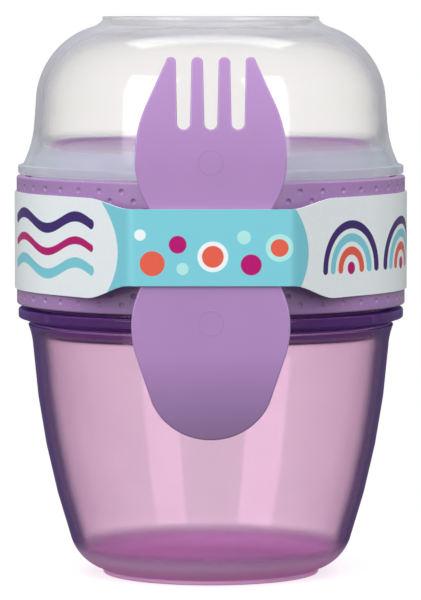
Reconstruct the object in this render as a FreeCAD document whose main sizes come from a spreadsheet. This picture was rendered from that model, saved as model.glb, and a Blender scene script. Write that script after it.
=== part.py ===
import FreeCAD, Part
import math
import os

import Sketcher

# A two-cup snack container: a base cup and an upside-down top cup screw into one twist collar,
# a fork-and-spoon tool hangs on the collar's front, and a card sleeve goes round them.
# Millimetres. The origin is the centre of the base cup's foot, +Z is up and the tool faces -Y.

SIZES = {
    # Fits and allowances
    "cut_overrun": 1.0,
    "running_gap": 0.3,
    "seat_gap": 0.06,
    "snap_gap": 0.1,
    # Both cups
    "cup_wall": 1.75,
    "floor_thickness": 2.0,
    "foot_radius": 28.2,
    "foot_width": 2.6,
    "foot_rise": 1.2,
    "foot_round": 0.4,
    "flange_inset": 0.4,
    "flange_round": 0.6,
    "neck_wall": 1.6,
    "neck_round": 0.5,
    # Base cup
    "base_height": 69.6,
    "base_flange_thickness": 2.6,
    "base_flange_slope": 1.0,
    "base_flange_overhang": 2.5,
    "base_groove_depth": 0.8,
    "base_groove_width": 0.7,
    "base_flare_width": 1.3,
    "base_flare_height": 5.9,
    "base_flare_round": 19.0,
    "base_side_round": 206.0,
    "base_corner_width": 5.85,
    "base_corner_height": 8.8,
    "base_corner_round": 12.0,
    "base_heel_width": 2.4,
    "base_heel_height": 2.2,
    "base_floor_inset": 0.7,
    "base_floor_round": 8.4,
    "gate_radius": 1.6,
    "gate_height": 0.5,
    # Top cup, measured up from the underside of its flange or down from its foot
    "top_height": 40.8,
    "top_flange_thickness": 2.35,
    "top_flange_ledge": 1.25,
    "top_flare_width": 2.99,
    "top_flare_height": 10.85,
    "top_flare_round": 28.0,
    "top_side_draft": 0.56,
    "top_side_height": 7.8,
    "top_shoulder_width": 2.85,
    "top_shoulder_drop": 3.7,
    "top_shoulder_round": 21.0,
    "top_crown_width": 2.5,
    "top_crown_drop": 2.65,
    "top_crown_round": 5.0,
    "top_ring_drop": 1.0,
    # Twist collar
    "collar_radius": 50.6,
    "collar_height": 33.3,
    "collar_wall": 2.2,
    "collar_round": 0.5,
    "collar_flange": 2.5,
    "base_shadow_gap": 1.1,
    "top_shadow_gap": 0.5,
    "plug_gap": 2.7,
    "plug_wall": 1.6,
    "plug_reach_up": 5.4,
    "plug_reach_down": 6.2,
    "web_thickness": 1.8,
    "web_recess": 1.5,
    "rim_width": 1.4,
    "rim_step_width": 1.4,
    "rim_step_drop": 0.8,
    # Lower plate, which snaps into the plug between a bead and a ledge
    "plate_thickness": 1.8,
    "plate_panel_recess": 0.6,
    "plate_rim_width": 4.0,
    "snap_bead": 0.5,
    "snap_bead_height": 0.6,
    "ledge_width": 1.0,
    "ledge_height": 1.5,
    # Seals
    "seal_thickness": 1.5,
    # Screw threads
    "thread_lead": 14.0,
    "thread_depth": 1.3,
    "thread_gap": 0.4,
    "thread_root": 1.6,
    "thread_crest": 0.8,
    "thread_sink": 0.4,
    "thread_inset": 1.5,
    # Rail on the collar that carries the tool
    "rail_height": 8.0,
    "rail_stem_width": 6.0,
    "rail_head_depth": 1.7,
    "rail_head_width": 10.4,
    # Fork-and-spoon tool
    "spork_length": 95.6,
    "spork_rise": 0.2,
    "spork_thickness": 2.0,
    "spork_waist_width": 27.5,
    "fork_straight": 20.0,
    "fork_bow": 4.6,
    "fork_width": 37.7,
    "fork_round": 22.0,
    "fork_neck_round": 12.0,
    "fork_cheek_round": 32.4,
    "outer_tine_width": 2.5,
    "outer_tine_round": 1.1,
    "outer_tine_drop": 1.05,
    "slot_spacing": 6.75,
    "slot_width": 3.2,
    "slot_mouth_width": 3.85,
    "slot_depth": 17.9,
    "spoon_straight": 26.0,
    "spoon_bow": 6.4,
    "spoon_width": 39.5,
    "spoon_round": 21.6,
    "spoon_neck_round": 12.0,
    "spoon_cheek_round": 24.3,
    "spoon_tip_round": 15.94,
    "lip_thickness": 1.6,
    "lip_gap": 0.4,
    "lip_back_gap": 1.1,
    # Card sleeve
    "card_thickness": 0.35,
    "sleeve_gap": 0.2,
    "sleeve_low_inset": 4.15,
    "sleeve_high_inset": 4.0,
    "sleeve_front_drop": 2.2,
    "sleeve_front_rise": 3.9,
    "sleeve_step_width": 11.0,
}

THREAD_STARTS = 4
THREAD_TURN_SHARE = 0.21

# The tool's outline: widths as shares of the fork's or the spoon's width,
# and places down from the fork's end or up from the spoon's as shares of the tool's length
FORK_CHEEK_WIDTH_SHARE = 0.854
FORK_NECK_WIDTH_SHARE = 0.8435
FORK_CHEEK_PLACE_SHARE = 0.1229
FORK_WIDTH_PLACE_SHARE = 0.26
FORK_NECK_PLACE_SHARE = 0.3808
FORK_WAIST_PLACE_SHARE = 0.454
SPOON_SIDE_WIDTH_SHARE = 0.7392
SPOON_CHEEK_WIDTH_SHARE = 0.9215
SPOON_NECK_WIDTH_SHARE = 0.8051
SPOON_SIDE_PLACE_SHARE = 0.0999
SPOON_CHEEK_PLACE_SHARE = 0.2134
SPOON_WIDTH_PLACE_SHARE = 0.3023
SPOON_NECK_PLACE_SHARE = 0.431
SPOON_WAIST_PLACE_SHARE = 0.5031

LEFT = 1
RIGHT = -1


class Size:
    """A length and the sheet expression that gives it."""

    def __init__(self, value, text):
        self.value = value
        self.text = text

    def combine(self, sign, other, value):
        other_text = other.text if isinstance(other, Size) else str(other)
        return Size(value, f"({self.text} {sign} {other_text})")

    def __add__(self, other):
        return self.combine("+", other, self.value + number(other))

    def __sub__(self, other):
        return self.combine("-", other, self.value - number(other))

    def __mul__(self, other):
        return self.combine("*", other, self.value * number(other))

    def __truediv__(self, other):
        return self.combine("/", other, self.value / number(other))

    def __neg__(self):
        return Size(-self.value, f"-({self.text})")


class Sheet:
    """The document's spreadsheet, read as sheet.name."""

    def __init__(self, document):
        self.cells = document.addObject("Spreadsheet::Sheet", "Sizes")
        for row, (name, value) in enumerate(SIZES.items(), start=1):
            self.cells.set(f"A{row}", name)
            self.cells.set(f"B{row}", str(value))
            self.cells.setAlias(f"B{row}", name)

    def __getattr__(self, name):
        return Size(SIZES[name], f"Sizes.{name}")


def number(size):
    return size.value if isinstance(size, Size) else size


def bind(item, name, size):
    """Sets a property and ties it to the sheet."""
    setattr(item, name, size.value)
    item.setExpression(name, size.text)


doc = FreeCAD.newDocument("SnackContainer")
sheet = Sheet(doc)
doc.recompute()

zero = Size(0.0, "0")

# Levels and radii that several pieces meet at
foot_inner = sheet.foot_radius - sheet.foot_width
collar_bore = sheet.collar_radius - sheet.collar_wall
flange_radius = sheet.collar_radius - sheet.flange_inset
neck_crest = collar_bore - sheet.thread_gap
neck_radius = neck_crest - sheet.thread_depth
neck_inner = neck_radius - sheet.neck_wall
plug_radius = neck_inner - sheet.plug_gap
plug_inner = plug_radius - sheet.plug_wall
collar_bottom = sheet.base_height + sheet.base_shadow_gap
collar_top = collar_bottom + sheet.collar_height
collar_middle = collar_bottom + sheet.collar_height / 2
flange_bottom = collar_middle - sheet.collar_flange / 2
flange_top = collar_middle + sheet.collar_flange / 2
base_seal_bottom = flange_bottom - sheet.seat_gap - sheet.seal_thickness
top_seal_top = flange_top + sheet.seat_gap + sheet.seal_thickness
base_neck_top = base_seal_bottom - sheet.seat_gap
top_neck_bottom = top_seal_top + sheet.seat_gap
top_datum = collar_top + sheet.top_shadow_gap
top_end = top_datum + sheet.top_height
plug_bottom = collar_bottom - sheet.plug_reach_down
plug_top = collar_top + sheet.plug_reach_up
plate_bottom = plug_bottom + sheet.snap_bead_height + sheet.snap_gap
plate_top = plate_bottom + sheet.plate_thickness
ledge_bottom = plate_top + sheet.snap_gap
rail_bottom = collar_middle - sheet.rail_height / 2
rail_top = collar_middle + sheet.rail_height / 2
hook_back = sheet.collar_radius + sheet.lip_back_gap
hook_front = hook_back + sheet.lip_thickness
rail_head_back = hook_front + sheet.running_gap
rail_head_front = rail_head_back + sheet.rail_head_depth
spork_back = rail_head_front + sheet.running_gap
spork_front = spork_back + sheet.spork_thickness
spork_middle = collar_middle + sheet.spork_rise
sleeve_bottom = collar_bottom + sheet.sleeve_low_inset
sleeve_top = collar_top - sheet.sleeve_high_inset

# The collar's ridges lie half a start pitch from the cups' ridges, on the same helix
half_start_pitch = sheet.thread_lead / (THREAD_STARTS * 2)
thread_climb = sheet.thread_lead * THREAD_TURN_SHARE
collar_base_thread = collar_bottom + sheet.thread_inset
base_thread = collar_base_thread + half_start_pitch
collar_top_thread = collar_top - sheet.thread_inset - thread_climb
top_thread = collar_top_thread - half_start_pitch


def new_body(name):
    body = doc.addObject("PartDesign::Body", name)
    body.Label = name
    return body


def origin_item(body, role):
    for item in body.Origin.OriginFeatures:
        if item.Role == role:
            return item
    raise LookupError(role)


def new_sketch(body, name, role, height=None):
    """A sketch on one of the body's own planes, lifted along its normal if a height is given."""
    sketch = body.newObject("Sketcher::SketchObject", name)
    sketch.AttachmentSupport = [(origin_item(body, role), "")]
    sketch.MapMode = "FlatFace"
    if height is not None:
        sketch.AttachmentOffset.Base.z = height.value
        sketch.setExpression("AttachmentOffset.Base.z", height.text)
    return sketch


def arc_between(start, end, radius, turn):
    """The shorter arc of this radius from start to end, turning left or right on the way."""
    along = end - start
    across = FreeCAD.Vector(-along.y, along.x, 0) * (turn / along.Length)
    reach = math.sqrt(max(radius**2 - (along.Length / 2) ** 2, 0))
    centre = (start + end) / 2 + across * reach
    first, last = (start, end) if turn == LEFT else (end, start)
    angles = [math.atan2(p.y - centre.y, p.x - centre.x) for p in (first, last)]
    circle = Part.Circle(centre, FreeCAD.Vector(0, 0, 1), radius)
    return Part.ArcOfCircle(circle, *angles)


def trace(sketch, tag, steps):
    """Draws one closed outline. Each step is the corner that a line ends at, (x, y),
    or that an arc ends at, (x, y, radius, turn), and every corner and radius follows the sheet."""
    points = [FreeCAD.Vector(step[0].value, step[1].value, 0) for step in steps]
    first_edge = sketch.GeometryCount
    edges = []
    ends = []
    for at, step in enumerate(steps):
        is_arc = len(step) > 2
        if is_arc:
            edges.append(arc_between(points[at - 1], points[at], step[2].value, step[3]))
        else:
            edges.append(Part.LineSegment(points[at - 1], points[at]))
        ends.append((2, 1) if is_arc and step[3] == RIGHT else (1, 2))
    sketch.addGeometry(edges, False)
    rules = []
    links = []
    for at, step in enumerate(steps):
        edge = first_edge + at
        following = (at + 1) % len(steps)
        end = ends[at][1]
        next_start = ends[following][0]
        rules.append(Sketcher.Constraint("Coincident", edge, end, first_edge + following, next_start))
        for axis, size in zip("XY", step[:2]):
            rule = Sketcher.Constraint("Distance" + axis, -1, 1, edge, end, size.value)
            rule.Name = f"{tag}_{at}_{axis}"
            rules.append(rule)
            links.append((rule.Name, size))
        if len(step) > 2:
            rule = Sketcher.Constraint("Radius", edge, step[2].value)
            rule.Name = f"{tag}_{at}_radius"
            rules.append(rule)
            links.append((rule.Name, step[2]))
    sketch.addConstraint(rules)
    for name, size in links:
        sketch.setExpression(f"Constraints.{name}", size.text)


def revolve(body, name, steps):
    """Turns a half section, drawn in radius and height, once round the upright axis."""
    sketch = new_sketch(body, name + "_section", "XZ_Plane")
    trace(sketch, "section", steps)
    turned = body.newObject("PartDesign::Revolution", name)
    turned.Profile = sketch
    turned.ReferenceAxis = (sketch, ["V_Axis"])
    turned.Angle = 360
    sketch.Visibility = False
    doc.recompute()


def pad(body, name, role, loops, length, height=None, symmetric=False):
    """Raises one or more closed outlines from a plane of the body."""
    sketch = new_sketch(body, name + "_sketch", role, height)
    for at, steps in enumerate(loops):
        trace(sketch, f"loop{at}", steps)
    raised = body.newObject("PartDesign::Pad", name)
    raised.Profile = sketch
    if symmetric:
        raised.SideType = "Symmetric"
    bind(raised, "Length", length)
    sketch.Visibility = False
    doc.recompute()


def cut_front(body, name, loops):
    """Cuts closed outlines, seen from the front, out of everything in front of the axis."""
    volume = body.Shape.Volume
    sketch = new_sketch(body, name + "_sketch", "XZ_Plane")
    for at, steps in enumerate(loops):
        trace(sketch, f"loop{at}", steps)
    cut = body.newObject("PartDesign::Pocket", name)
    cut.Profile = sketch
    cut.Type = "ThroughAll"
    cut.Reversed = True
    sketch.Visibility = False
    doc.recompute()
    if body.Shape.Volume >= volume:
        raise RuntimeError(f"{name} cuts nothing")


def add_thread(body, name, wall_radius, crest_radius, height):
    """Adds the helical ridges of one screw thread, standing on a wall and ending at a crest."""
    sink = sheet.thread_sink if crest_radius.value < wall_radius.value else -sheet.thread_sink
    root = wall_radius + sink
    sketch = new_sketch(body, name + "_section", "XZ_Plane")
    trace(
        sketch,
        "ridge",
        [
            (root, height - sheet.thread_root / 2),
            (crest_radius, height - sheet.thread_crest / 2),
            (crest_radius, height + sheet.thread_crest / 2),
            (root, height + sheet.thread_root / 2),
        ],
    )
    ridge = body.newObject("PartDesign::AdditiveHelix", name + "_ridge")
    ridge.Profile = sketch
    ridge.ReferenceAxis = (sketch, ["V_Axis"])
    ridge.Mode = "pitch-turns-angle"
    bind(ridge, "Pitch", sheet.thread_lead)
    ridge.Turns = THREAD_TURN_SHARE
    sketch.Visibility = False
    doc.recompute()
    pattern = body.newObject("PartDesign::PolarPattern", name)
    pattern.Originals = [ridge]
    pattern.Axis = (origin_item(body, "Z_Axis"), [""])
    pattern.Angle = 360
    pattern.Occurrences = THREAD_STARTS
    body.Tip = pattern
    doc.recompute()


def mirrored(steps):
    """The other half of an outline that goes down one side and comes back up the other."""
    back = []
    for at in range(len(steps) - 1, 0, -1):
        x, y = steps[at - 1][:2]
        back.append((-x, y, *steps[at][2:]))
    return back


def make_base_cup():
    body = new_body("base_cup")
    floor_top = sheet.foot_rise + sheet.floor_thickness
    flange_low = sheet.base_height - sheet.base_flange_thickness
    groove_top = flange_low - sheet.base_flange_slope
    flare_top = groove_top - sheet.base_groove_width
    side_top = flare_top - sheet.base_flare_height
    flange_edge = flange_radius - sheet.flange_round
    flare_radius = flange_radius - sheet.base_flange_overhang
    groove_radius = flare_radius - sheet.base_groove_depth
    side_radius = flare_radius - sheet.base_flare_width
    heel_radius = sheet.foot_radius + sheet.base_heel_width
    corner_radius = heel_radius + sheet.base_corner_width
    gate_top = floor_top + sheet.gate_height
    revolve(
        body,
        "base_shell",
        [
            (zero, sheet.foot_rise),
            (foot_inner, sheet.foot_rise),
            (foot_inner, zero),
            (sheet.foot_radius - sheet.foot_round, zero),
            (sheet.foot_radius, sheet.foot_round, sheet.foot_round, LEFT),
            (sheet.foot_radius, sheet.foot_rise),
            (heel_radius, sheet.base_heel_height),
            (corner_radius, sheet.base_corner_height, sheet.base_corner_round, LEFT),
            (side_radius, side_top, sheet.base_side_round, LEFT),
            (flare_radius, flare_top, sheet.base_flare_round, RIGHT),
            (groove_radius, flare_top),
            (groove_radius, groove_top),
            (flange_edge, flange_low),
            (flange_radius, flange_low + sheet.flange_round, sheet.flange_round, LEFT),
            (flange_radius, sheet.base_height - sheet.flange_round),
            (flange_edge, sheet.base_height, sheet.flange_round, LEFT),
            (neck_radius, sheet.base_height),
            (neck_radius, base_neck_top - sheet.neck_round),
            (neck_radius - sheet.neck_round, base_neck_top, sheet.neck_round, LEFT),
            (neck_inner, base_neck_top),
            (neck_inner, groove_top),
            (side_radius - sheet.cup_wall, side_top),
            (
                corner_radius - sheet.cup_wall,
                sheet.base_corner_height,
                sheet.base_side_round - sheet.cup_wall,
                RIGHT,
            ),
            (sheet.foot_radius - sheet.base_floor_inset, floor_top, sheet.base_floor_round, RIGHT),
            (sheet.gate_radius, floor_top),
            (sheet.gate_radius, gate_top),
            (zero, gate_top),
        ],
    )
    add_thread(body, "base_thread", neck_radius, neck_crest, base_thread)
    return body


def make_top_cup():
    body = new_body("top_cup")
    flange_high = top_datum + sheet.top_flange_thickness
    flare_top = flange_high + sheet.top_flare_height
    side_top = flare_top + sheet.top_side_height
    shoulder_top = top_end - sheet.top_shoulder_drop
    recess_floor = top_end - sheet.foot_rise
    ceiling = recess_floor - sheet.floor_thickness
    flange_edge = flange_radius - sheet.flange_round
    flare_radius = flange_radius - sheet.top_flange_ledge
    waist_radius = flare_radius - sheet.top_flare_width
    side_radius = waist_radius - sheet.top_side_draft
    crown_radius = sheet.foot_radius + sheet.top_crown_width
    shoulder_radius = crown_radius + sheet.top_shoulder_width
    revolve(
        body,
        "top_shell",
        [
            (zero, ceiling),
            (sheet.foot_radius, ceiling),
            (shoulder_radius, shoulder_top - sheet.cup_wall),
            (side_radius - sheet.cup_wall, side_top, sheet.top_shoulder_round - sheet.cup_wall, RIGHT),
            (waist_radius - sheet.cup_wall, flare_top),
            (neck_inner, flange_high),
            (neck_inner, top_neck_bottom),
            (neck_radius - sheet.neck_round, top_neck_bottom),
            (neck_radius, top_neck_bottom + sheet.neck_round, sheet.neck_round, LEFT),
            (neck_radius, top_datum),
            (flange_edge, top_datum),
            (flange_radius, top_datum + sheet.flange_round, sheet.flange_round, LEFT),
            (flange_radius, flange_high - sheet.flange_round),
            (flange_edge, flange_high, sheet.flange_round, LEFT),
            (flare_radius, flange_high),
            (waist_radius, flare_top, sheet.top_flare_round, RIGHT),
            (side_radius, side_top),
            (shoulder_radius, shoulder_top, sheet.top_shoulder_round, LEFT),
            (crown_radius, top_end - sheet.top_crown_drop),
            (sheet.foot_radius, top_end - sheet.top_ring_drop, sheet.top_crown_round, RIGHT),
            (sheet.foot_radius, top_end - sheet.foot_round),
            (sheet.foot_radius - sheet.foot_round, top_end, sheet.foot_round, LEFT),
            (foot_inner, top_end),
            (foot_inner, recess_floor),
            (zero, recess_floor),
        ],
    )
    add_thread(body, "top_thread", neck_radius, neck_crest, top_thread)
    return body


def make_twist_collar():
    body = new_body("twist_collar")
    web_top = plug_top - sheet.web_recess
    web_bottom = web_top - sheet.web_thickness
    step_top = plug_top - sheet.rim_step_drop
    rim_inner = plug_radius - sheet.rim_width
    step_inner = rim_inner - sheet.rim_step_width
    ledge_inner = plug_inner - sheet.ledge_width
    bead_inner = plug_inner - sheet.snap_bead
    bead_top = plug_bottom + sheet.snap_bead_height
    edge_inset = sheet.collar_radius - sheet.collar_round
    revolve(
        body,
        "collar_shell",
        [
            (zero, web_bottom),
            (plug_inner, web_bottom),
            (plug_inner, ledge_bottom + sheet.ledge_height),
            (ledge_inner, ledge_bottom + sheet.ledge_height),
            (ledge_inner, ledge_bottom),
            (plug_inner, ledge_bottom),
            (plug_inner, bead_top),
            (bead_inner, bead_top),
            (bead_inner, plug_bottom),
            (plug_radius, plug_bottom),
            (plug_radius, flange_bottom),
            (collar_bore, flange_bottom),
            (collar_bore, collar_bottom),
            (edge_inset, collar_bottom),
            (sheet.collar_radius, collar_bottom + sheet.collar_round, sheet.collar_round, LEFT),
            (sheet.collar_radius, collar_top - sheet.collar_round),
            (edge_inset, collar_top, sheet.collar_round, LEFT),
            (collar_bore, collar_top),
            (collar_bore, flange_top),
            (plug_radius, flange_top),
            (plug_radius, plug_top),
            (rim_inner, plug_top),
            (rim_inner, step_top),
            (step_inner, step_top),
            (step_inner, web_top),
            (zero, web_top),
        ],
    )
    ridge_crest = collar_bore - sheet.thread_depth
    add_thread(body, "base_side_thread", collar_bore, ridge_crest, collar_base_thread)
    add_thread(body, "top_side_thread", collar_bore, ridge_crest, collar_top_thread)
    stem = sheet.rail_stem_width / 2
    head = sheet.rail_head_width / 2
    root = sheet.collar_radius - sheet.collar_wall / 2
    pad(
        body,
        "spork_rail",
        "XY_Plane",
        [
            [
                (stem, -root),
                (-stem, -root),
                (-stem, -rail_head_back),
                (-head, -rail_head_back),
                (-head, -rail_head_front),
                (head, -rail_head_front),
                (head, -rail_head_back),
                (stem, -rail_head_back),
            ]
        ],
        sheet.rail_height,
        rail_bottom,
    )
    return body


def make_lower_plate():
    body = new_body("lower_plate")
    edge = plug_inner - sheet.snap_gap
    panel_edge = edge - sheet.plate_rim_width
    panel_bottom = plate_bottom + sheet.plate_panel_recess
    revolve(
        body,
        "plate_disc",
        [
            (zero, panel_bottom),
            (panel_edge, panel_bottom),
            (panel_edge, plate_bottom),
            (edge, plate_bottom),
            (edge, plate_top),
            (zero, plate_top),
        ],
    )
    return body


def make_seal(name, bottom):
    body = new_body(name)
    inner = plug_radius + sheet.running_gap
    outer = collar_bore - sheet.running_gap
    top = bottom + sheet.seal_thickness
    revolve(body, name + "_ring", [(inner, bottom), (outer, bottom), (outer, top), (inner, top)])
    return body


def spork_outline():
    """The tool seen from the front: down its right side from the middle slot to the spoon's tip."""
    top = spork_middle + sheet.spork_length / 2
    bottom = spork_middle - sheet.spork_length / 2
    slot = sheet.slot_width / 2
    mouth = sheet.slot_mouth_width / 2
    slot_bottom = top - sheet.slot_depth
    slot_turn = slot_bottom + slot
    tine = sheet.slot_spacing / 2 - mouth
    tine_middle = sheet.slot_spacing / 2
    tip_turn = top - tine
    outer_tine = sheet.slot_spacing + mouth
    tip_outer = outer_tine + sheet.outer_tine_width
    fork = sheet.fork_width / 2
    spoon = sheet.spoon_width / 2
    waist = sheet.spork_waist_width / 2
    fork_cheek = top - sheet.spork_length * FORK_CHEEK_PLACE_SHARE
    fork_widest = top - sheet.spork_length * FORK_WIDTH_PLACE_SHARE
    fork_neck = top - sheet.spork_length * FORK_NECK_PLACE_SHARE
    fork_waist = top - sheet.spork_length * FORK_WAIST_PLACE_SHARE
    spoon_side = bottom + sheet.spork_length * SPOON_SIDE_PLACE_SHARE
    spoon_cheek = bottom + sheet.spork_length * SPOON_CHEEK_PLACE_SHARE
    spoon_widest = bottom + sheet.spork_length * SPOON_WIDTH_PLACE_SHARE
    spoon_neck = bottom + sheet.spork_length * SPOON_NECK_PLACE_SHARE
    spoon_waist = bottom + sheet.spork_length * SPOON_WAIST_PLACE_SHARE
    right = [
        (zero, slot_bottom),
        (slot, slot_turn, slot, LEFT),
        (mouth, tip_turn),
        (tine_middle, top, tine, RIGHT),
        (tine_middle + tine, tip_turn, tine, RIGHT),
        (sheet.slot_spacing - slot, slot_turn),
        (sheet.slot_spacing, slot_bottom, slot, LEFT),
        (sheet.slot_spacing + slot, slot_turn, slot, LEFT),
        (outer_tine, top - sheet.outer_tine_round),
        (outer_tine + sheet.outer_tine_round, top, sheet.outer_tine_round, RIGHT),
        (tip_outer - sheet.outer_tine_round, top),
        (tip_outer, top - sheet.outer_tine_drop, sheet.outer_tine_round, RIGHT),
        (fork * FORK_CHEEK_WIDTH_SHARE, fork_cheek),
        (fork, fork_widest, sheet.fork_cheek_round, RIGHT),
        (fork * FORK_NECK_WIDTH_SHARE, fork_neck, sheet.fork_round, RIGHT),
        (waist, fork_waist, sheet.fork_neck_round, LEFT),
        (waist, spoon_waist),
        (spoon * SPOON_NECK_WIDTH_SHARE, spoon_neck, sheet.spoon_neck_round, LEFT),
        (spoon, spoon_widest, sheet.spoon_round, RIGHT),
        (spoon * SPOON_CHEEK_WIDTH_SHARE, spoon_cheek, sheet.spoon_cheek_round, RIGHT),
        (spoon * SPOON_SIDE_WIDTH_SHARE, spoon_side),
        (zero, bottom, sheet.spoon_tip_round, RIGHT),
    ]
    return right[1:] + mirrored(right)


def bow_radius(length, bow):
    """The radius of an arc that leaves a straight on its tangent and ends a bow's depth aside of it."""
    return (length * length + bow * bow) / (bow * 2)


def make_spork():
    body = new_body("spork")
    half_strip = sheet.spork_length / 2 + sheet.cut_overrun
    fork_start = spork_middle + sheet.fork_straight
    fork_end = spork_middle + half_strip
    fork_bend = bow_radius(half_strip - sheet.fork_straight, sheet.fork_bow)
    spoon_start = spork_middle - sheet.spoon_straight
    spoon_end = spork_middle - half_strip
    spoon_bend = bow_radius(half_strip - sheet.spoon_straight, sheet.spoon_bow)
    strip_width = sheet.spoon_width + sheet.cut_overrun * 2
    pad(
        body,
        "bowed_strip",
        "YZ_Plane",
        [
            [
                (-spork_front, spoon_start),
                (sheet.spoon_bow - spork_front, spoon_end, spoon_bend, LEFT),
                (sheet.spoon_bow - spork_back, spoon_end),
                (-spork_back, spoon_start, spoon_bend, RIGHT),
                (-spork_back, fork_start),
                (sheet.fork_bow - spork_back, fork_end, fork_bend, RIGHT),
                (sheet.fork_bow - spork_front, fork_end),
                (-spork_front, fork_start, fork_bend, LEFT),
            ]
        ],
        strip_width,
        symmetric=True,
    )
    margin = strip_width / 2 + sheet.cut_overrun
    low = spoon_end - sheet.cut_overrun
    high = fork_end + sheet.cut_overrun
    frame = [(margin, low), (margin, high), (-margin, high), (-margin, low)]
    cut_front(body, "outline_cut", [frame, spork_outline()])
    leg_inner = sheet.rail_head_width / 2 + sheet.lip_gap
    leg_outer = leg_inner + sheet.lip_thickness
    hook_inner = sheet.rail_stem_width / 2 + sheet.lip_gap
    leg_root = spork_back + sheet.spork_thickness / 2
    right_lip = [
        (leg_outer, -leg_root),
        (leg_outer, -hook_back),
        (hook_inner, -hook_back),
        (hook_inner, -hook_front),
        (leg_inner, -hook_front),
        (leg_inner, -leg_root),
    ]
    left_lip = [(-x, y) for x, y in reversed(right_lip)]
    pad(body, "clip_lips", "XY_Plane", [right_lip, left_lip], sheet.rail_height, rail_bottom)
    bridge = [
        (leg_outer, -leg_root),
        (leg_outer, -hook_back),
        (-leg_outer, -hook_back),
        (-leg_outer, -leg_root),
    ]
    bridge_bottom = rail_top + sheet.seat_gap
    pad(body, "clip_stop", "XY_Plane", [bridge], sheet.lip_thickness, bridge_bottom)
    return body


def sleeve_loop(sketch, tag, radius, front, half_width):
    """A band round the collar that leaves it on two tangents to a flat front."""
    corner = FreeCAD.Vector(half_width.value, -front.value, 0)
    lean = math.atan2(half_width.value, front.value)
    spread = math.acos(radius.value / corner.Length)
    touch_angle = lean + spread - math.pi / 2
    touch = FreeCAD.Vector(math.cos(touch_angle), math.sin(touch_angle), 0) * radius.value
    far_corner = FreeCAD.Vector(-corner.x, corner.y, 0)
    far_touch = FreeCAD.Vector(-touch.x, touch.y, 0)
    circle = Part.Circle(FreeCAD.Vector(), FreeCAD.Vector(0, 0, 1), radius.value)
    first = sketch.GeometryCount
    band, left, flat, right = range(first, first + 4)
    sketch.addGeometry(
        [
            Part.ArcOfCircle(circle, touch_angle, math.pi - touch_angle),
            Part.LineSegment(far_touch, far_corner),
            Part.LineSegment(far_corner, corner),
            Part.LineSegment(corner, touch),
        ],
        False,
    )
    sketch.addConstraint(
        [
            Sketcher.Constraint("Coincident", band, 3, -1, 1),
            Sketcher.Constraint("Tangent", band, 2, left, 1),
            Sketcher.Constraint("Coincident", left, 2, flat, 1),
            Sketcher.Constraint("Coincident", flat, 2, right, 1),
            Sketcher.Constraint("Tangent", right, 2, band, 1),
        ]
    )
    sized = [
        ("radius", Sketcher.Constraint("Radius", band, radius.value), radius),
        ("left_x", Sketcher.Constraint("DistanceX", -1, 1, flat, 1, -half_width.value), -half_width),
        ("left_y", Sketcher.Constraint("DistanceY", -1, 1, flat, 1, -front.value), -front),
        ("right_x", Sketcher.Constraint("DistanceX", -1, 1, flat, 2, half_width.value), half_width),
        ("right_y", Sketcher.Constraint("DistanceY", -1, 1, flat, 2, -front.value), -front),
    ]
    for name, rule, size in sized:
        rule.Name = f"{tag}_{name}"
        sketch.addConstraint(rule)
        sketch.setExpression(f"Constraints.{rule.Name}", size.text)


def make_card_sleeve():
    body = new_body("card_sleeve")
    inner_radius = sheet.collar_radius + sheet.sleeve_gap
    inner_front = spork_front + sheet.running_gap
    inner_half = sheet.spoon_width / 2 + sheet.running_gap
    card = sheet.card_thickness
    sketch = new_sketch(body, "band_sketch", "XY_Plane", sleeve_bottom)
    sleeve_loop(sketch, "outer", inner_radius + card, inner_front + card, inner_half + card / 2)
    sleeve_loop(sketch, "inner", inner_radius, inner_front, inner_half)
    band = body.newObject("PartDesign::Pad", "band")
    band.Profile = sketch
    bind(band, "Length", sleeve_top - sleeve_bottom)
    sketch.Visibility = False
    doc.recompute()
    wide = inner_half + sheet.sleeve_step_width
    top_edge = sleeve_top - sheet.sleeve_front_drop
    bottom_edge = sleeve_bottom + sheet.sleeve_front_rise
    above = sleeve_top + sheet.cut_overrun
    below = sleeve_bottom - sheet.cut_overrun
    upper = [
        (wide, sleeve_top),
        (wide, above),
        (-wide, above),
        (-wide, sleeve_top),
        (-inner_half, top_edge),
        (inner_half, top_edge),
    ]
    lower = [
        (wide, sleeve_bottom),
        (inner_half, bottom_edge),
        (-inner_half, bottom_edge),
        (-wide, sleeve_bottom),
        (-wide, below),
        (wide, below),
    ]
    cut_front(body, "front_steps", [upper, lower])
    return body


pieces = [
    make_base_cup(),
    make_seal("base_seal", base_seal_bottom),
    make_lower_plate(),
    make_twist_collar(),
    make_seal("top_seal", flange_top + sheet.seat_gap),
    make_top_cup(),
    make_spork(),
    make_card_sleeve(),
]
doc.recompute()

for item in doc.Objects:
    if "Invalid" in item.State or "Error" in item.State:
        raise RuntimeError(f"{item.Label} failed: {item.State}")

os.makedirs("parts", exist_ok=True)
for piece in pieces:
    shape = piece.Shape
    if shape.isNull() or not shape.isValid() or len(shape.Solids) != 1:
        raise RuntimeError(f"{piece.Label} is not one sound solid")
    shape.exportStep(f"parts/{piece.Label}.step")
    print(f"{piece.Label}: {shape.Volume / 1000:.2f} ml of material")
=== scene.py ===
# %% [markdown]
# A stacked snack container, dressed for the camera
#
# Two cups screw into one collar, a fork-and-spoon tool clips to the collar's front, and a printed
# card sleeve goes round the lot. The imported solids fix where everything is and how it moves. This
# lesson adds what a camera sees: moulded edges, dimples, threads, print, and plastics that let
# light through. Sizes are in millimetres, as on a mould maker's drawing, and each mesh is scaled
# to metres as it is made.

# %% Load the frame
import math

import bmesh
import bpy
from mathutils import Matrix, Vector


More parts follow.
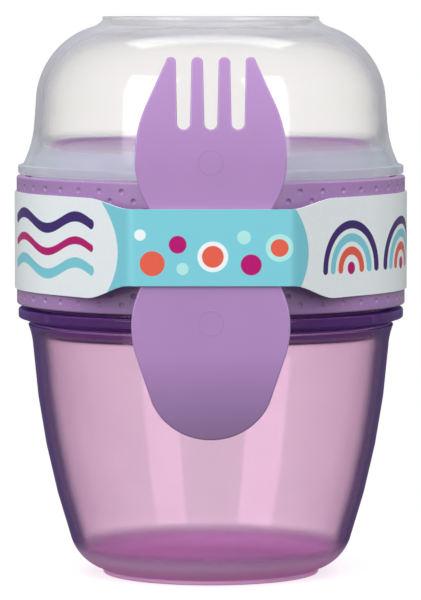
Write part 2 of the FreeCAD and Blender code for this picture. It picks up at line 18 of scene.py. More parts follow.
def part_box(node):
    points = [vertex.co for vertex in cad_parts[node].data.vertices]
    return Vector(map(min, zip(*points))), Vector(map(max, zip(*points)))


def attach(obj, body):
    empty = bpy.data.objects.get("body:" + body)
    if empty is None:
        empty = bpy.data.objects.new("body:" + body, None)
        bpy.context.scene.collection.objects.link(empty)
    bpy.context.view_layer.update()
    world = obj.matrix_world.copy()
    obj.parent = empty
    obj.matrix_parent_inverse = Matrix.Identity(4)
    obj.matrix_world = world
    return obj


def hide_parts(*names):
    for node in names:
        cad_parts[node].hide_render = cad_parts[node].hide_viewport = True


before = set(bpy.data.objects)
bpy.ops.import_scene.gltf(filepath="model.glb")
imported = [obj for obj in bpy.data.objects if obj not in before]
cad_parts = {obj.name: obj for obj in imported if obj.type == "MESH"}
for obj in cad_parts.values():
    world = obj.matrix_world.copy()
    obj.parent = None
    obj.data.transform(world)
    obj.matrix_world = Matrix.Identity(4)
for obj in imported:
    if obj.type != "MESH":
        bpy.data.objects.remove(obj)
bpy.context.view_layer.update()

MM = 0.001
print("solids in the frame:", ", ".join(sorted(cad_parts)))

# %% [markdown]
# The sizes that pieces share come from the frame, so a piece cannot drift from its solid. They
# could be typed again here, but a typed size goes stale when the solids change. Only what a box
# cannot tell, such as a wall or a fillet, is typed, beside the piece that has it.


# %% Sizes that the frame gives
def span(node):
    """A solid's lowest and highest corner, in millimetres."""
    low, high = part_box(node)
    return low / MM, high / MM


FLANGE_RADIUS = span("base_cup")[1].x
BASE_NECK_TOP = span("base_cup")[1].z
TOP_NECK_BOTTOM = span("top_cup")[0].z
TOP_END = span("top_cup")[1].z
COLLAR_RADIUS = span("twist_collar")[1].x
PLUG_BOTTOM = span("twist_collar")[0].z
PLUG_TOP = span("twist_collar")[1].z
RAIL_FRONT = span("twist_collar")[0].y
SPORK_LOW, SPORK_HIGH = span("spork")
SLEEVE_LOW, SLEEVE_HIGH = span("card_sleeve")

COLLAR_HEIGHT = 33.3
COLLAR_WALL = 2.2
NECK_WALL = 1.6
PLUG_RISE = 5.4
THREAD_ROOM = 1.7
SEAL_ROOM = 2.7
COLLAR_TOP = PLUG_TOP - PLUG_RISE
COLLAR_BOTTOM = COLLAR_TOP - COLLAR_HEIGHT
COLLAR_BORE = COLLAR_RADIUS - COLLAR_WALL
NECK_RADIUS = COLLAR_BORE - THREAD_ROOM
NECK_INNER = NECK_RADIUS - NECK_WALL
PLUG_RADIUS = NECK_INNER - SEAL_ROOM
print(f"collar {2 * COLLAR_RADIUS:.1f} across, from {COLLAR_BOTTOM:.1f} to {COLLAR_TOP:.1f}")

# %% [markdown]
# Both cups, the collar, its plate and the seals are round, so each is one section turned about the
# upright axis. Blender's Screw modifier turns sections too, but it leaves doubled points on the
# axis. Turning the section in a few lines of Python closes the poles exactly, which matters
# for clear plastic: a ray that enters a shell has to find a way out of it.
#
# A section is a list of corners. A corner may carry a radius and a turn, and is then reached by
# an arc. Sharp corners are eased as a mould's are, with one point to each side that keeps the
# shading of the flats beside them flat.

# %% Sections
LEFT = 1
RIGHT = -1
ARC_STEP = math.radians(4)
MOULD_EASE = 0.3
EASED_CORNER = math.radians(25)
EASE_STEPS = 4
EASE_LIMIT = 0.3
FLAT_GUARD = 1.5


def arc_points(start, end, radius, turn):
    """Points after start, up to end, on the shorter arc of this radius, turning left or right."""
    along = end - start
    across = Vector((-along.y, along.x)) * (turn / along.length)
    reach = math.sqrt(max(radius**2 - (along.length / 2) ** 2, 0))
    centre = (start + end) / 2 + across * reach
    arm = start - centre
    sweep = arm.angle(end - centre)
    count = max(2, math.ceil(sweep / ARC_STEP))
    turns = [turn * sweep * at / count for at in range(1, count + 1)]
    return [centre + Matrix.Rotation(angle, 2) @ arm for angle in turns]


def trace(steps):
    """The line of points through corners (x, y) and arcs (x, y, radius, turn)."""
    points = [Vector(steps[0][:2])]
    for step in steps[1:]:
        end = Vector(step[:2])
        if len(step) > 2:
            points += arc_points(points[-1], end, *step[2:])
        else:
            points.append(end)
    return points


def ease(points, radius):
    """Rounds the sharp corners of a line of points."""
    eased = [points[0]]
    for before, corner, after in zip(points, points[1:], points[2:]):
        back = before - corner
        ahead = after - corner
        if (-back).angle(ahead) < EASED_CORNER:
            eased.append(corner)
            continue
        reach = min(radius, EASE_LIMIT * back.length, EASE_LIMIT * ahead.length)
        back.normalize()
        ahead.normalize()
        eased.append(corner + back * reach * FLAT_GUARD)
        for at in range(EASE_STEPS + 1):
            share = at / EASE_STEPS
            leaving = (corner + back * reach).lerp(corner, share)
            arriving = corner.lerp(corner + ahead * reach, share)
            eased.append(leaving.lerp(arriving, share))
        eased.append(corner + ahead * reach * FLAT_GUARD)
    return eased + [points[-1]]


def mirrored(points):
    """The mirror image of a line on the right, in reverse, so that it can close the line."""
    return [Vector((-x, y)) for x, y in reversed(points)]


# %% Meshes
WELD = 0.002
SHARP_EDGE = math.radians(38)
ROUND_SEGMENTS = 192
MILLILITRE = 1e-6


def new_piece(name, places, faces, *finishes):
    """An object at the origin, with its place, in millimetres, in its mesh."""
    mesh = bpy.data.meshes.new(name)
    mesh.from_pydata([Vector(place) * MM for place in places], [], faces)
    for finish in finishes:
        mesh.materials.append(finish)
    piece = bpy.data.objects.new(name, mesh)
    bpy.context.scene.collection.objects.link(piece)
    return piece


def close_up(piece):
    """Welds doubled points, turns faces outwards and shades the piece smooth up to sharp edges."""
    shape = bmesh.new()
    shape.from_mesh(piece.data)
    bmesh.ops.remove_doubles(shape, verts=shape.verts, dist=WELD * MM)
    bmesh.ops.recalc_face_normals(shape, faces=shape.faces)
    open_edges = sum(1 for edge in shape.edges if not edge.is_manifold)
    volume = shape.calc_volume() / MILLILITRE
    shape.to_mesh(piece.data)
    shape.free()
    piece.data.shade_smooth()
    piece.data.set_sharp_from_angle(angle=SHARP_EDGE)
    print(f"{piece.name}: {len(piece.data.polygons)} faces, {open_edges} open edges, {volume:.2f} ml")
    return piece


def turned(points, segments=ROUND_SEGMENTS):
    """Places and faces of a section of (radius, height) points turned once round the axis."""
    places = []
    rings = []
    for radius, height in points:
        if radius < WELD:
            rings.append([len(places)] * segments)
            places.append((0, 0, height))
            continue
        rings.append(range(len(places), len(places) + segments))
        for turn in range(segments):
            angle = math.tau * turn / segments
            places.append((radius * math.sin(angle), -radius * math.cos(angle), height))
    faces = []
    for lower, upper in zip(rings, rings[1:]):
        for turn in range(segments):
            following = (turn + 1) % segments
            corners = (lower[turn], lower[following], upper[following], upper[turn])
            faces.append(list(dict.fromkeys(corners)))
    return places, faces


def lathe(name, steps, finish, soft=MOULD_EASE):
    """A piece turned from one section, with its sharp corners eased."""
    return close_up(new_piece(name, *turned(ease(trace(steps), soft)), finish))


def adopt(piece, body, slot, *nodes):
    """Lets a piece move with a body and puts it in the place of solids; the slot it is given is not
    used.
    """
    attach(piece, body)
    if nodes:
        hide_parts(*nodes)


# %% [markdown]
# Finishes and repeated shapes are both node trees. Wiring nodes by hand takes three lines for each
# sum, so one small class wraps a socket, and arithmetic on it adds the Math nodes. Every other
# node is added by one method, which sets its settings first and then its sockets. The same two
# classes serve the shaders and the Geometry Nodes.


# %% Wires
class Wire:
    """An output socket. Arithmetic on it adds Math nodes to its tree."""

    def __init__(self, nodes, socket):
        self.nodes = nodes
        self.socket = socket

    def also(self, output):
        """Another output of the same node."""
        return Wire(self.nodes, self.socket.node.outputs[output])

    def math(self, operation, *values):
        inputs = dict(enumerate((self, *values)))
        return self.nodes.add("ShaderNodeMath", inputs, operation=operation)

    def __add__(self, other):
        return self.math("ADD", other)

    def __sub__(self, other):
        return self.math("SUBTRACT", other)

    def __rsub__(self, other):
        return self * -1 + other

    def __mul__(self, other):
        return self.math("MULTIPLY", other)

    def __truediv__(self, other):
        return self.math("DIVIDE", other)

    def __lt__(self, other):
        return self.math("LESS_THAN", other)

    def __gt__(self, other):
        return self.math("GREATER_THAN", other)

    def __abs__(self):
        return self.math("ABSOLUTE")

    __radd__ = __add__
    __rmul__ = __mul__

    def fade(self, low, high):
        """0 up to low and 1 from high on, with a smooth step between them."""
        inputs = {0: self, 1: low, 2: high}
        return self.nodes.add("ShaderNodeMapRange", inputs, interpolation_type="SMOOTHSTEP")


# %% Node trees
class Nodes:
    """A node tree and the one way of adding to it."""

    def __init__(self, tree):
        self.tree = tree
        tree.nodes.clear()

    def add(self, kind, inputs=None, output=0, **settings):
        node = self.tree.nodes.new(kind)
        for name, value in settings.items():
            setattr(node, name, value)
        for name, value in (inputs or {}).items():
            for one in value if isinstance(value, list) else [value]:
                if isinstance(one, Wire):
                    self.tree.links.new(one.socket, node.inputs[name])
                else:
                    node.inputs[name].default_value = one
        return Wire(self, node.outputs[output]) if node.outputs else None

    def mix(self, share, first, second):
        """A colour between two colours."""
        return self.add("ShaderNodeMix", {0: share, 6: first, 7: second}, 2, data_type="RGBA")

    def vector(self, x, y, z):
        return self.add("ShaderNodeCombineXYZ", {0: x, 1: y, 2: z})

    def place(self):
        """A point's place in its piece's own coordinates."""
        return self.add("ShaderNodeTexCoord", output="Object")

    def noise(self, scale, detail):
        inputs = {"Vector": self.place(), "Scale": scale, "Detail": detail}
        return self.add("ShaderNodeTexNoise", inputs)

    def bump(self, height, strength, depth):
        return self.add("ShaderNodeBump", {"Height": height, "Strength": strength, "Distance": depth})

    def principled(self, colour, roughness, inputs):
        """Blender's all-round surface, with any further inputs by name."""
        inputs = {"Base Color": colour, "Roughness": roughness} | inputs
        return self.add("ShaderNodeBsdfPrincipled", inputs)


def new_finish(name):
    finish = bpy.data.materials.new(name)
    finish.use_nodes = True
    return finish, Nodes(finish.node_tree)


# %% [markdown]
# The cups are polypropylene, which is never quite clear: its crystals scatter a little light, so
# it looks milky, and dye in it takes up light along the way through. A glass shader alone would
# be too clean, and light scattered inside a real volume would be slow and noisy in such thin
# walls. Here the dye is a volume absorption, and the milkiness is a share of cloudy plastic, which
# sends part of the light back and lets part through, mixed into the clear one. The share is small
# face on and grows where the view grazes the wall and passes through more of it. Near each end a
# colour and share are set by height. The clear cup is milkier there. The tinted cup's floor and foot
# are painted light lavender, which is painted light where the floor glows. Its top round the flange
# is painted dark violet, which is painted shade under the collar. The lamps would find no way
# through a refracting wall, so for shadows the wall is a tinted pane. The mould's polish is not
# perfect either: broad ripples bend the reflections.

# %% Clear and tinted plastic
PLASTIC_IOR = 1.49
RIPPLE_SCALE = 45
RIPPLE_DEPTH = 0.2 * MM
CLOUD_SCALE = 70
HAZE_SWING = 0.04
MILK_ROUGHNESS = 0.3
MILK_PASSES = 0.4
SLANT_GAIN = 6.0
GRAZING_VIEW = (0.57, 0.84)
END_FADE = 5.0


def translucent_plastic(name, milk, milk_shares, milky_and_painted_ends, haze, dye, dye_density, shade):
    """Plastic with a milk share face on and one at grazing views, and a colour and share by height at
    each end.
    """
    finish, nodes = new_finish(name)
    cloud = nodes.noise(CLOUD_SCALE, 2)
    bump = nodes.bump(nodes.noise(RIPPLE_SCALE, 1), 0.3, RIPPLE_DEPTH)
    clear = nodes.principled(
        (1, 1, 1, 1),
        haze + (cloud - 0.5) * HAZE_SWING,
        {"IOR": PLASTIC_IOR, "Transmission Weight": 1, "Normal": bump},
    )
    height = nodes.add("ShaderNodeSeparateXYZ", {0: nodes.place()}, "Z") / MM
    # Each end gets its own colour and share by height. On the tinted cup, the low end is painted light
    # for the floor's glow, and the high end is painted shade under the collar.
    (low_height, low_milk_and_painted_light, low_milk_and_light_share), (high_height, high_milk_and_painted_shade, high_milk_and_shade_share) = milky_and_painted_ends
    low = height.fade(low_height + END_FADE, low_height)
    high = height.fade(high_height - END_FADE, high_height)
    colour = nodes.mix(high, nodes.mix(low, milk, low_milk_and_painted_light), high_milk_and_painted_shade)
    sent_back = nodes.principled(colour, MILK_ROUGHNESS, {"IOR": PLASTIC_IOR, "Normal": bump})
    let_through = nodes.add("ShaderNodeBsdfTranslucent", {"Color": colour})
    milky = nodes.add("ShaderNodeMixShader", {0: MILK_PASSES, 1: sent_back, 2: let_through})
    facing_share, grazing_share = milk_shares
    slant = nodes.add("ShaderNodeLayerWeight", {"Blend": 0.5}, "Facing")
    thin = facing_share * (cloud + 0.5 + slant * slant * SLANT_GAIN)
    thin += slant.fade(*GRAZING_VIEW) * (grazing_share - facing_share)
    share = thin.math("MAXIMUM", low * low_milk_and_light_share + high * high_milk_and_shade_share)
    surface = nodes.add("ShaderNodeMixShader", {0: share, 1: clear, 2: milky})
    volume = nodes.add("ShaderNodeVolumeAbsorption", {"Color": dye, "Density": dye_density})
    shadow = nodes.add("ShaderNodeLightPath", output="Is Shadow Ray")
    lit_through = nodes.add("ShaderNodeBsdfTransparent", {"Color": shade})
    whole = nodes.add("ShaderNodeMixShader", {0: shadow, 1: surface, 2: lit_through})
    nodes.add("ShaderNodeOutputMaterial", {"Surface": whole, "Volume": volume})
    return finish


tinted_plastic = translucent_plastic(
    "tinted_plastic",
    milk=(0.11, 0.035, 0.27, 1),
    milk_shares=(0.05, 0.95),
    # Painted light: light lavender at the floor and foot. Painted shade: dark violet below and round
    # the flange, under the collar.
    milky_and_painted_ends=((4.5, (0.92, 0.8, 1.0, 1), 0.88), (66.5, (0.16, 0.06, 0.4, 1), 0.45)),
    haze=0.05,
    dye=(0.84, 0.05, 0.56, 1),
    dye_density=155,
    shade=(0.86, 0.7, 0.84, 1),
)
clear_plastic = translucent_plastic(
    "clear_plastic",
    milk=(0.74, 0.78, 0.86, 1),
    milk_shares=(0.015, 0.6),
    milky_and_painted_ends=((109.0, (0.7, 0.77, 0.87, 1), 0.46), (144.0, (0.72, 0.75, 0.8, 1), 0.36)),
    haze=0.08,
    dye=(0.95, 0.76, 0.4, 1),
    dye_density=25,
    shade=(0.82, 0.82, 0.81, 1),
)
print("translucent finishes:", tinted_plastic.name, clear_plastic.name)

# %% [markdown]
# The collar and the tool are the same plastic filled with lilac pigment, from moulds that were
# blasted to a fine satin. One colour and one roughness would look like paint. The melt flows
# as it fills the mould, which leaves broad, faint changes of shade, and the satin is a grain of a
# few hundredths of a millimetre, so both are noise textures, one large and one tiny. A thin
# coat on top gives the skin of the plastic its gloss.

# %% Satin plastic
FLOW_SCALE = 28
GRAIN_SCALE = 3200
GRAIN_DEPTH = 0.04 * MM
SKIN_ROUGHNESS = 0.12


def satin_plastic(name, colour, shade, roughness, gloss):
    finish, nodes = new_finish(name)
    flow = nodes.noise(FLOW_SCALE, 3)
    grain = nodes.noise(GRAIN_SCALE, 2)
    surface = nodes.principled(
        nodes.mix(flow.fade(0.3, 0.7), colour, shade),
        roughness + (grain - 0.5) * 0.1 + (flow - 0.5) * 0.08,
        {
            "IOR": PLASTIC_IOR,
            "Coat Weight": gloss,
            "Coat Roughness": SKIN_ROUGHNESS,
            "Normal": nodes.bump(grain, 0.12, GRAIN_DEPTH),
        },
    )
    nodes.add("ShaderNodeOutputMaterial", {"Surface": surface})
    return finish


collar_plastic = satin_plastic(
    "collar_plastic", (0.41, 0.235, 0.5, 1), (0.38, 0.215, 0.47, 1), roughness=0.28, gloss=0.3
)
spork_plastic = satin_plastic(
    "spork_plastic", (0.45, 0.26, 0.55, 1), (0.42, 0.24, 0.52, 1), roughness=0.24, gloss=0.8
)
print("satin finishes:", collar_plastic.name, spork_plastic.name)

# %% [markdown]
# The seals are natural silicone. It is soft, so it has no crisp highlight, and light goes a
# little way into it, which a subsurface share gives. Dust clings to it, so it is speckled.

# %% Silicone
SILICONE = (0.8, 0.8, 0.78, 1)
DUSTY_SILICONE = (0.68, 0.68, 0.66, 1)
LIGHT_REACH = 1.2 * MM


def silicone():
    finish, nodes = new_finish("seal_silicone")
    dust = nodes.noise(900, 5)
    surface = nodes.principled(
        nodes.mix(dust.fade(0.5, 0.75), SILICONE, DUSTY_SILICONE),
        0.5 + dust * 0.15,
        {"Subsurface Weight": 0.35, "Subsurface Scale": LIGHT_REACH},
    )
    nodes.add("ShaderNodeOutputMaterial", {"Surface": surface})
    return finish


seal_silicone = silicone()
print("soft finish:", seal_silicone.name)

# %% [markdown]
# The base cup stands on a narrow foot ring, swells out to a rounded flare, and ends in a flange
# with a neck above it that the collar hides. A sculpted mesh could follow the photograph's
# outline, but a cup like this is turned in the mould maker's lathe, and a section says it best:
# it runs from the axis along the underside, up the outside, over the neck and down the inside.

# %% Base cup sizes
CUP_WALL = 1.75
FLOOR = 2.0
FOOT_RADIUS = 28.2
FOOT_INNER = FOOT_RADIUS - 2.6
FOOT_RISE = 1.2
FOOT_ROUND = 0.4
FLANGE_ROUND = 0.6
FLANGE_EDGE = FLANGE_RADIUS - FLANGE_ROUND

BASE_HEIGHT = COLLAR_BOTTOM - 1.1
BASE_FLANGE_LOW = BASE_HEIGHT - 2.6
BASE_GROOVE_TOP = BASE_FLANGE_LOW - 1.0
BASE_FLARE_TOP = BASE_GROOVE_TOP - 0.7
BASE_SIDE_TOP = BASE_FLARE_TOP - 5.9
BASE_FLARE_RADIUS = FLANGE_RADIUS - 2.5
BASE_FLARE_ROUND = 19.0
BASE_GROOVE_RADIUS = BASE_FLARE_RADIUS - 0.8
BASE_SIDE_RADIUS = BASE_FLARE_RADIUS - 1.3
BASE_SIDE_ROUND = 206.0
BASE_HEEL = (FOOT_RADIUS + 2.4, 2.2)
BASE_CORNER = (BASE_HEEL[0] + 5.85, 8.8)
BASE_CORNER_ROUND = 12.0
FLOOR_TOP = FOOT_RISE + FLOOR
FLOOR_EDGE = FOOT_RADIUS - 0.7
FLOOR_ROUND = 8.4
GATE_RADIUS = 1.6
GATE_TOP = FLOOR_TOP + 0.5
print(f"base cup {BASE_HEIGHT:.1f} high below its neck, {2 * FLANGE_RADIUS:.1f} across")

# %% Base cup
base_section = [
    (0, FOOT_RISE),
    (FOOT_INNER, FOOT_RISE),
    (FOOT_INNER, 0),
    (FOOT_RADIUS - FOOT_ROUND, 0),
    (FOOT_RADIUS, FOOT_ROUND, FOOT_ROUND, LEFT),
    (FOOT_RADIUS, FOOT_RISE),
    BASE_HEEL,
    (*BASE_CORNER, BASE_CORNER_ROUND, LEFT),
    (BASE_SIDE_RADIUS, BASE_SIDE_TOP, BASE_SIDE_ROUND, LEFT),
    (BASE_FLARE_RADIUS, BASE_FLARE_TOP, BASE_FLARE_ROUND, RIGHT),
    (BASE_GROOVE_RADIUS, BASE_FLARE_TOP),
    (BASE_GROOVE_RADIUS, BASE_GROOVE_TOP),
    (FLANGE_EDGE, BASE_FLANGE_LOW),
    (FLANGE_RADIUS, BASE_FLANGE_LOW + FLANGE_ROUND, FLANGE_ROUND, LEFT),
    (FLANGE_RADIUS, BASE_HEIGHT - FLANGE_ROUND),
    (FLANGE_EDGE, BASE_HEIGHT, FLANGE_ROUND, LEFT),
    (NECK_RADIUS, BASE_HEIGHT),
    (NECK_RADIUS, BASE_NECK_TOP),
    (NECK_INNER, BASE_NECK_TOP),
    (NECK_INNER, BASE_GROOVE_TOP),
    (BASE_SIDE_RADIUS - CUP_WALL, BASE_SIDE_TOP),
    (BASE_CORNER[0] - CUP_WALL, BASE_CORNER[1], BASE_SIDE_ROUND - CUP_WALL, RIGHT),
    (FLOOR_EDGE, FLOOR_TOP, FLOOR_ROUND, RIGHT),
    (GATE_RADIUS, FLOOR_TOP),
    (GATE_RADIUS, GATE_TOP),
    (0, GATE_TOP),
]
base_cup = lathe("base_cup_shell", base_section, tinted_plastic)
adopt(base_cup, "base_cup", "tinted_plastic", "base_cup")

# %% [markdown]
# The clear cup is the base cup's smaller sister, upside down: a foot ring on top so that it can
# stand as a bowl, a round shoulder, a waist that flares out, and a flange over the collar.

# %% Top cup sizes
TOP_DATUM = COLLAR_TOP + 0.5
TOP_FLANGE_HIGH = TOP_DATUM + 2.35
TOP_FLARE_TOP = TOP_FLANGE_HIGH + 10.85
TOP_SIDE_TOP = TOP_FLARE_TOP + 7.8
TOP_FLARE_RADIUS = FLANGE_RADIUS - 1.25
TOP_FLARE_ROUND = 28.0
TOP_WAIST_RADIUS = TOP_FLARE_RADIUS - 2.99
TOP_SIDE_RADIUS = TOP_WAIST_RADIUS - 0.56
TOP_CROWN = (FOOT_RADIUS + 2.5, TOP_END - 2.65)
TOP_SHOULDER = (TOP_CROWN[0] + 2.85, TOP_END - 3.7)
TOP_SHOULDER_ROUND = 21.0
TOP_FOOT_LOW = TOP_END - 1.0
TOP_FOOT_FILLET = 5.0
TOP_CEILING = TOP_END - FLOOR_TOP
print(f"top cup {TOP_END - TOP_DATUM:.1f} high above its neck")

# %% Top cup
top_section = [
    (0, TOP_CEILING),
    (FOOT_RADIUS, TOP_CEILING),
    (TOP_SHOULDER[0], TOP_SHOULDER[1] - CUP_WALL),
    (TOP_SIDE_RADIUS - CUP_WALL, TOP_SIDE_TOP, TOP_SHOULDER_ROUND - CUP_WALL, RIGHT),
    (TOP_WAIST_RADIUS - CUP_WALL, TOP_FLARE_TOP),
    (NECK_INNER, TOP_FLANGE_HIGH),
    (NECK_INNER, TOP_NECK_BOTTOM),
    (NECK_RADIUS, TOP_NECK_BOTTOM),
    (NECK_RADIUS, TOP_DATUM),
    (FLANGE_EDGE, TOP_DATUM),
    (FLANGE_RADIUS, TOP_DATUM + FLANGE_ROUND, FLANGE_ROUND, LEFT),
    (FLANGE_RADIUS, TOP_FLANGE_HIGH - FLANGE_ROUND),
    (FLANGE_EDGE, TOP_FLANGE_HIGH, FLANGE_ROUND, LEFT),
    (TOP_FLARE_RADIUS, TOP_FLANGE_HIGH),
    (TOP_WAIST_RADIUS, TOP_FLARE_TOP, TOP_FLARE_ROUND, RIGHT),
    (TOP_SIDE_RADIUS, TOP_SIDE_TOP),
    (*TOP_SHOULDER, TOP_SHOULDER_ROUND, LEFT),
    TOP_CROWN,
    (FOOT_RADIUS, TOP_FOOT_LOW, TOP_FOOT_FILLET, RIGHT),
    (FOOT_RADIUS, TOP_END - FOOT_ROUND),
    (FOOT_RADIUS - FOOT_ROUND, TOP_END, FOOT_ROUND, LEFT),
    (FOOT_INNER, TOP_END),
    (FOOT_INNER, TOP_END - FOOT_RISE),
    (0, TOP_END - FOOT_RISE),
]
top_cup = lathe("top_cup_shell", top_section, clear_plastic)
adopt(top_cup, "top_cup", "clear_plastic", "top_cup")

# %% [markdown]
# Under the collar each cup has a screw thread: four short ridges that start a quarter of a turn
# apart and climb the neck steeply, so that a turn and a half lifts the cup right off. A ridge follows
# a path, a helix, so Geometry Nodes make it: a spiral carries a trapezium, scaled down at both ends
# so that the ridge runs out into the wall, and one instance per start is turned about the axis.
# With a negative depth the same tree stands ridges on the inside of the collar.

# %% Thread tree
RIDGE_POINTS_PER_TURN = 200
CREST_ROUND_SHARE = 0.25
RUN_OUT_SHARE = 0.12
RUN_OUT_END = 0.1


def new_tree(name, numbers, others):
    """An empty Geometry Nodes tree with named inputs, and a wire from each of them."""
    kinds = dict.fromkeys(numbers, "Float") | others
    tree = bpy.data.node_groups.new(name, "GeometryNodeTree")
    tree.interface.new_socket("Geometry", in_out="OUTPUT", socket_type="NodeSocketGeometry")
    for title, kind in kinds.items():
        tree.interface.new_socket(title, in_out="INPUT", socket_type="NodeSocket" + kind)
    nodes = Nodes(tree)
    entry = nodes.add("NodeGroupInput")
    return nodes, {title: entry.also(title) for title in kinds}


def close_tree(nodes, geometry, finish):
    """Ends a tree: instances become real, and the mesh gets its finish."""
    solid = nodes.add("GeometryNodeRealizeInstances", {"Geometry": geometry})
    dressed = nodes.add("GeometryNodeSetMaterial", {"Geometry": solid, "Material": finish})
    nodes.add("NodeGroupOutput", {"Geometry": dressed})
    return nodes.tree


def thread_tree():
    nodes, given = new_tree(
        "screw_thread",
        ("Wall Radius", "Depth", "Sink", "Root Width", "Crest Width", "Lead", "Turn Share", "Height"),
        {"Starts": "Int", "Finish": "Material"},
    )
    helix = {
        "Resolution": RIDGE_POINTS_PER_TURN,
        "Rotations": given["Turn Share"],
        "Start Radius": given["Wall Radius"],
        "End Radius": given["Wall Radius"],
        "Height": given["Lead"] * given["Turn Share"],
    }
    spiral = nodes.add("GeometryNodeCurveSpiral", helix)
    path = nodes.add("GeometryNodeSetCurveNormal", {"Curve": spiral}, mode="Z_UP")
    root = given["Root Width"] / 2
    crest = given["Crest Width"] / 2
    corners = {
        "Point 1": nodes.vector(given["Sink"], root * -1, 0),
        "Point 2": nodes.vector(given["Depth"], crest * -1, 0),
        "Point 3": nodes.vector(given["Depth"], crest, 0),
        "Point 4": nodes.vector(given["Sink"], root, 0),
    }
    trapezium = nodes.add("GeometryNodeCurvePrimitiveQuadrilateral", corners, mode="POINTS")
    rounding = given["Crest Width"] * CREST_ROUND_SHARE
    fillet = {"Curve": trapezium, "Count": 2, "Radius": rounding, "Limit Radius": True}
    eased = nodes.add("GeometryNodeFilletCurve", fillet, mode="POLY")
    along = nodes.add("GeometryNodeSplineParameter")
    nearest_end = along.math("MINIMUM", 1 - along)
    run_out = nearest_end.fade(0, RUN_OUT_SHARE) * (1 - RUN_OUT_END) + RUN_OUT_END
    sweep = {"Curve": path, "Profile Curve": eased, "Scale": run_out, "Fill Caps": True}
    ridge = nodes.add("GeometryNodeCurveToMesh", sweep)
    starts = nodes.add("GeometryNodePoints", {"Count": given["Starts"]})
    index = nodes.add("GeometryNodeInputIndex")
    turn = nodes.vector(0, 0, index * math.tau / given["Starts"])
    copies = {"Points": starts, "Instance": ridge, "Rotation": turn}
    ridges = nodes.add("GeometryNodeInstanceOnPoints", copies)
    lift = nodes.vector(0, 0, given["Height"])
    lifted = nodes.add("GeometryNodeTransform", {"Geometry": ridges, "Translation": lift})
    return close_tree(nodes, lifted, given["Finish"])


screw_thread = thread_tree()
print("thread tree:", len(screw_thread.nodes), "nodes")


# %% Threads on the cups
def grow(name, tree, lengths, others):
    """Runs a tree once, with lengths in millimetres, and keeps what it makes as a plain mesh."""
    values = {title: length * MM for title, length in lengths.items()} | others
    piece = new_piece(name, [], [])
    maker = piece.modifiers.new("maker", "NODES")
    maker.node_group = tree
    for socket in tree.interface.items_tree:
        if socket.in_out == "INPUT":
            maker[socket.identifier] = values[socket.name]
    made = piece.evaluated_get(bpy.context.evaluated_depsgraph_get())
    mesh = bpy.data.meshes.new_from_object(made)
    piece.modifiers.clear()
    piece.data = mesh
    mesh.name = name
    return close_up(piece)


THREAD_LEAD = 14.0
THREAD_STARTS = 4
THREAD_TURN_SHARE = 0.21
THREAD_DEPTH = 1.3
THREAD_SINK = 0.4
THREAD_ROOT = 1.6
THREAD_CREST = 0.8
THREAD_INSET = 1.5
HALF_START_PITCH = THREAD_LEAD / THREAD_STARTS / 2
COLLAR_BASE_THREAD = COLLAR_BOTTOM + THREAD_INSET
COLLAR_TOP_THREAD = COLLAR_TOP - THREAD_INSET - THREAD_LEAD * THREAD_TURN_SHARE
BASE_THREAD = COLLAR_BASE_THREAD + HALF_START_PITCH
TOP_THREAD = COLLAR_TOP_THREAD - HALF_START_PITCH


def thread(name, wall_radius, outward, height, finish):
    """Ridges that stand on a wall, outwards (1) or inwards (-1)."""
    lengths = {
        "Wall Radius": wall_radius,
        "Depth": THREAD_DEPTH * outward,
        "Sink": -THREAD_SINK * outward,
        "Root Width": THREAD_ROOT,
        "Crest Width": THREAD_CREST,
        "Lead": THREAD_LEAD,
        "Height": height,
    }
    others = {"Turn Share": THREAD_TURN_SHARE, "Starts": THREAD_STARTS, "Finish": finish}
    return grow(name, screw_thread, lengths, others)


base_ridges = thread("base_cup_thread", NECK_RADIUS, 1, BASE_THREAD, tinted_plastic)
adopt(base_ridges, "base_cup", "tinted_plastic")
top_ridges = thread("top_cup_thread", NECK_RADIUS, 1, TOP_THREAD, clear_plastic)
adopt(top_ridges, "top_cup", "clear_plastic")

# %% [markdown]
# A silicone ring lies in each of the collar's grooves, and a plate snaps into its underside. They
# are hidden until the container is opened, and are turned like the cups. A ring's section closes
# on itself, so it starts and ends in the middle of a flat face.

# %% Seals and lower plate
SEAL_CLEARANCE = 0.3
SEAL_ROUND = 0.4


def seal(name, node):
    low, high = span(node)
    inner = PLUG_RADIUS + SEAL_CLEARANCE
    seam = ((inner + high.x) / 2, low.z)
    corners = [(high.x, low.z), (high.x, high.z), (inner, high.z), (inner, low.z)]
    return lathe(name, [seam, *corners, seam], seal_silicone, SEAL_ROUND)


for node in ("base_seal", "top_seal"):
    adopt(seal(node + "_ring", node), node, "seal_silicone", node)

PLATE_LOW, PLATE_HIGH = span("lower_plate")
PLATE_RIM = PLATE_HIGH.x - 4.0
PLATE_RECESS = PLATE_LOW.z + 0.6
plate_section = [
    (0, PLATE_RECESS),
    (PLATE_RIM, PLATE_RECESS),
    (PLATE_RIM, PLATE_LOW.z),
    (PLATE_HIGH.x, PLATE_LOW.z),
    (PLATE_HIGH.x, PLATE_HIGH.z),
    (0, PLATE_HIGH.z),
]
lower_plate = lathe("lower_plate_disc", plate_section, collar_plastic)
adopt(lower_plate, "collar", "collar_plastic", "lower_plate")

# %% [markdown]
# The collar's wall is covered in rows of small round dimples, for grip, apart from a plain field
# behind the tool. A bump map would show no dimple on the edge of the wall, so they are real. A grid
# fine enough to press dimples into would need a quarter of a million faces. Instead one tile with
# one dimple is instanced on a grid of points, flat, as on an unrolled label. Every other row
# is shifted by half a tile, and the label is then rolled up round the axis. The tile's border has
# a point at every eighth, so that shifted rows and the turned rims above and below weld to it.

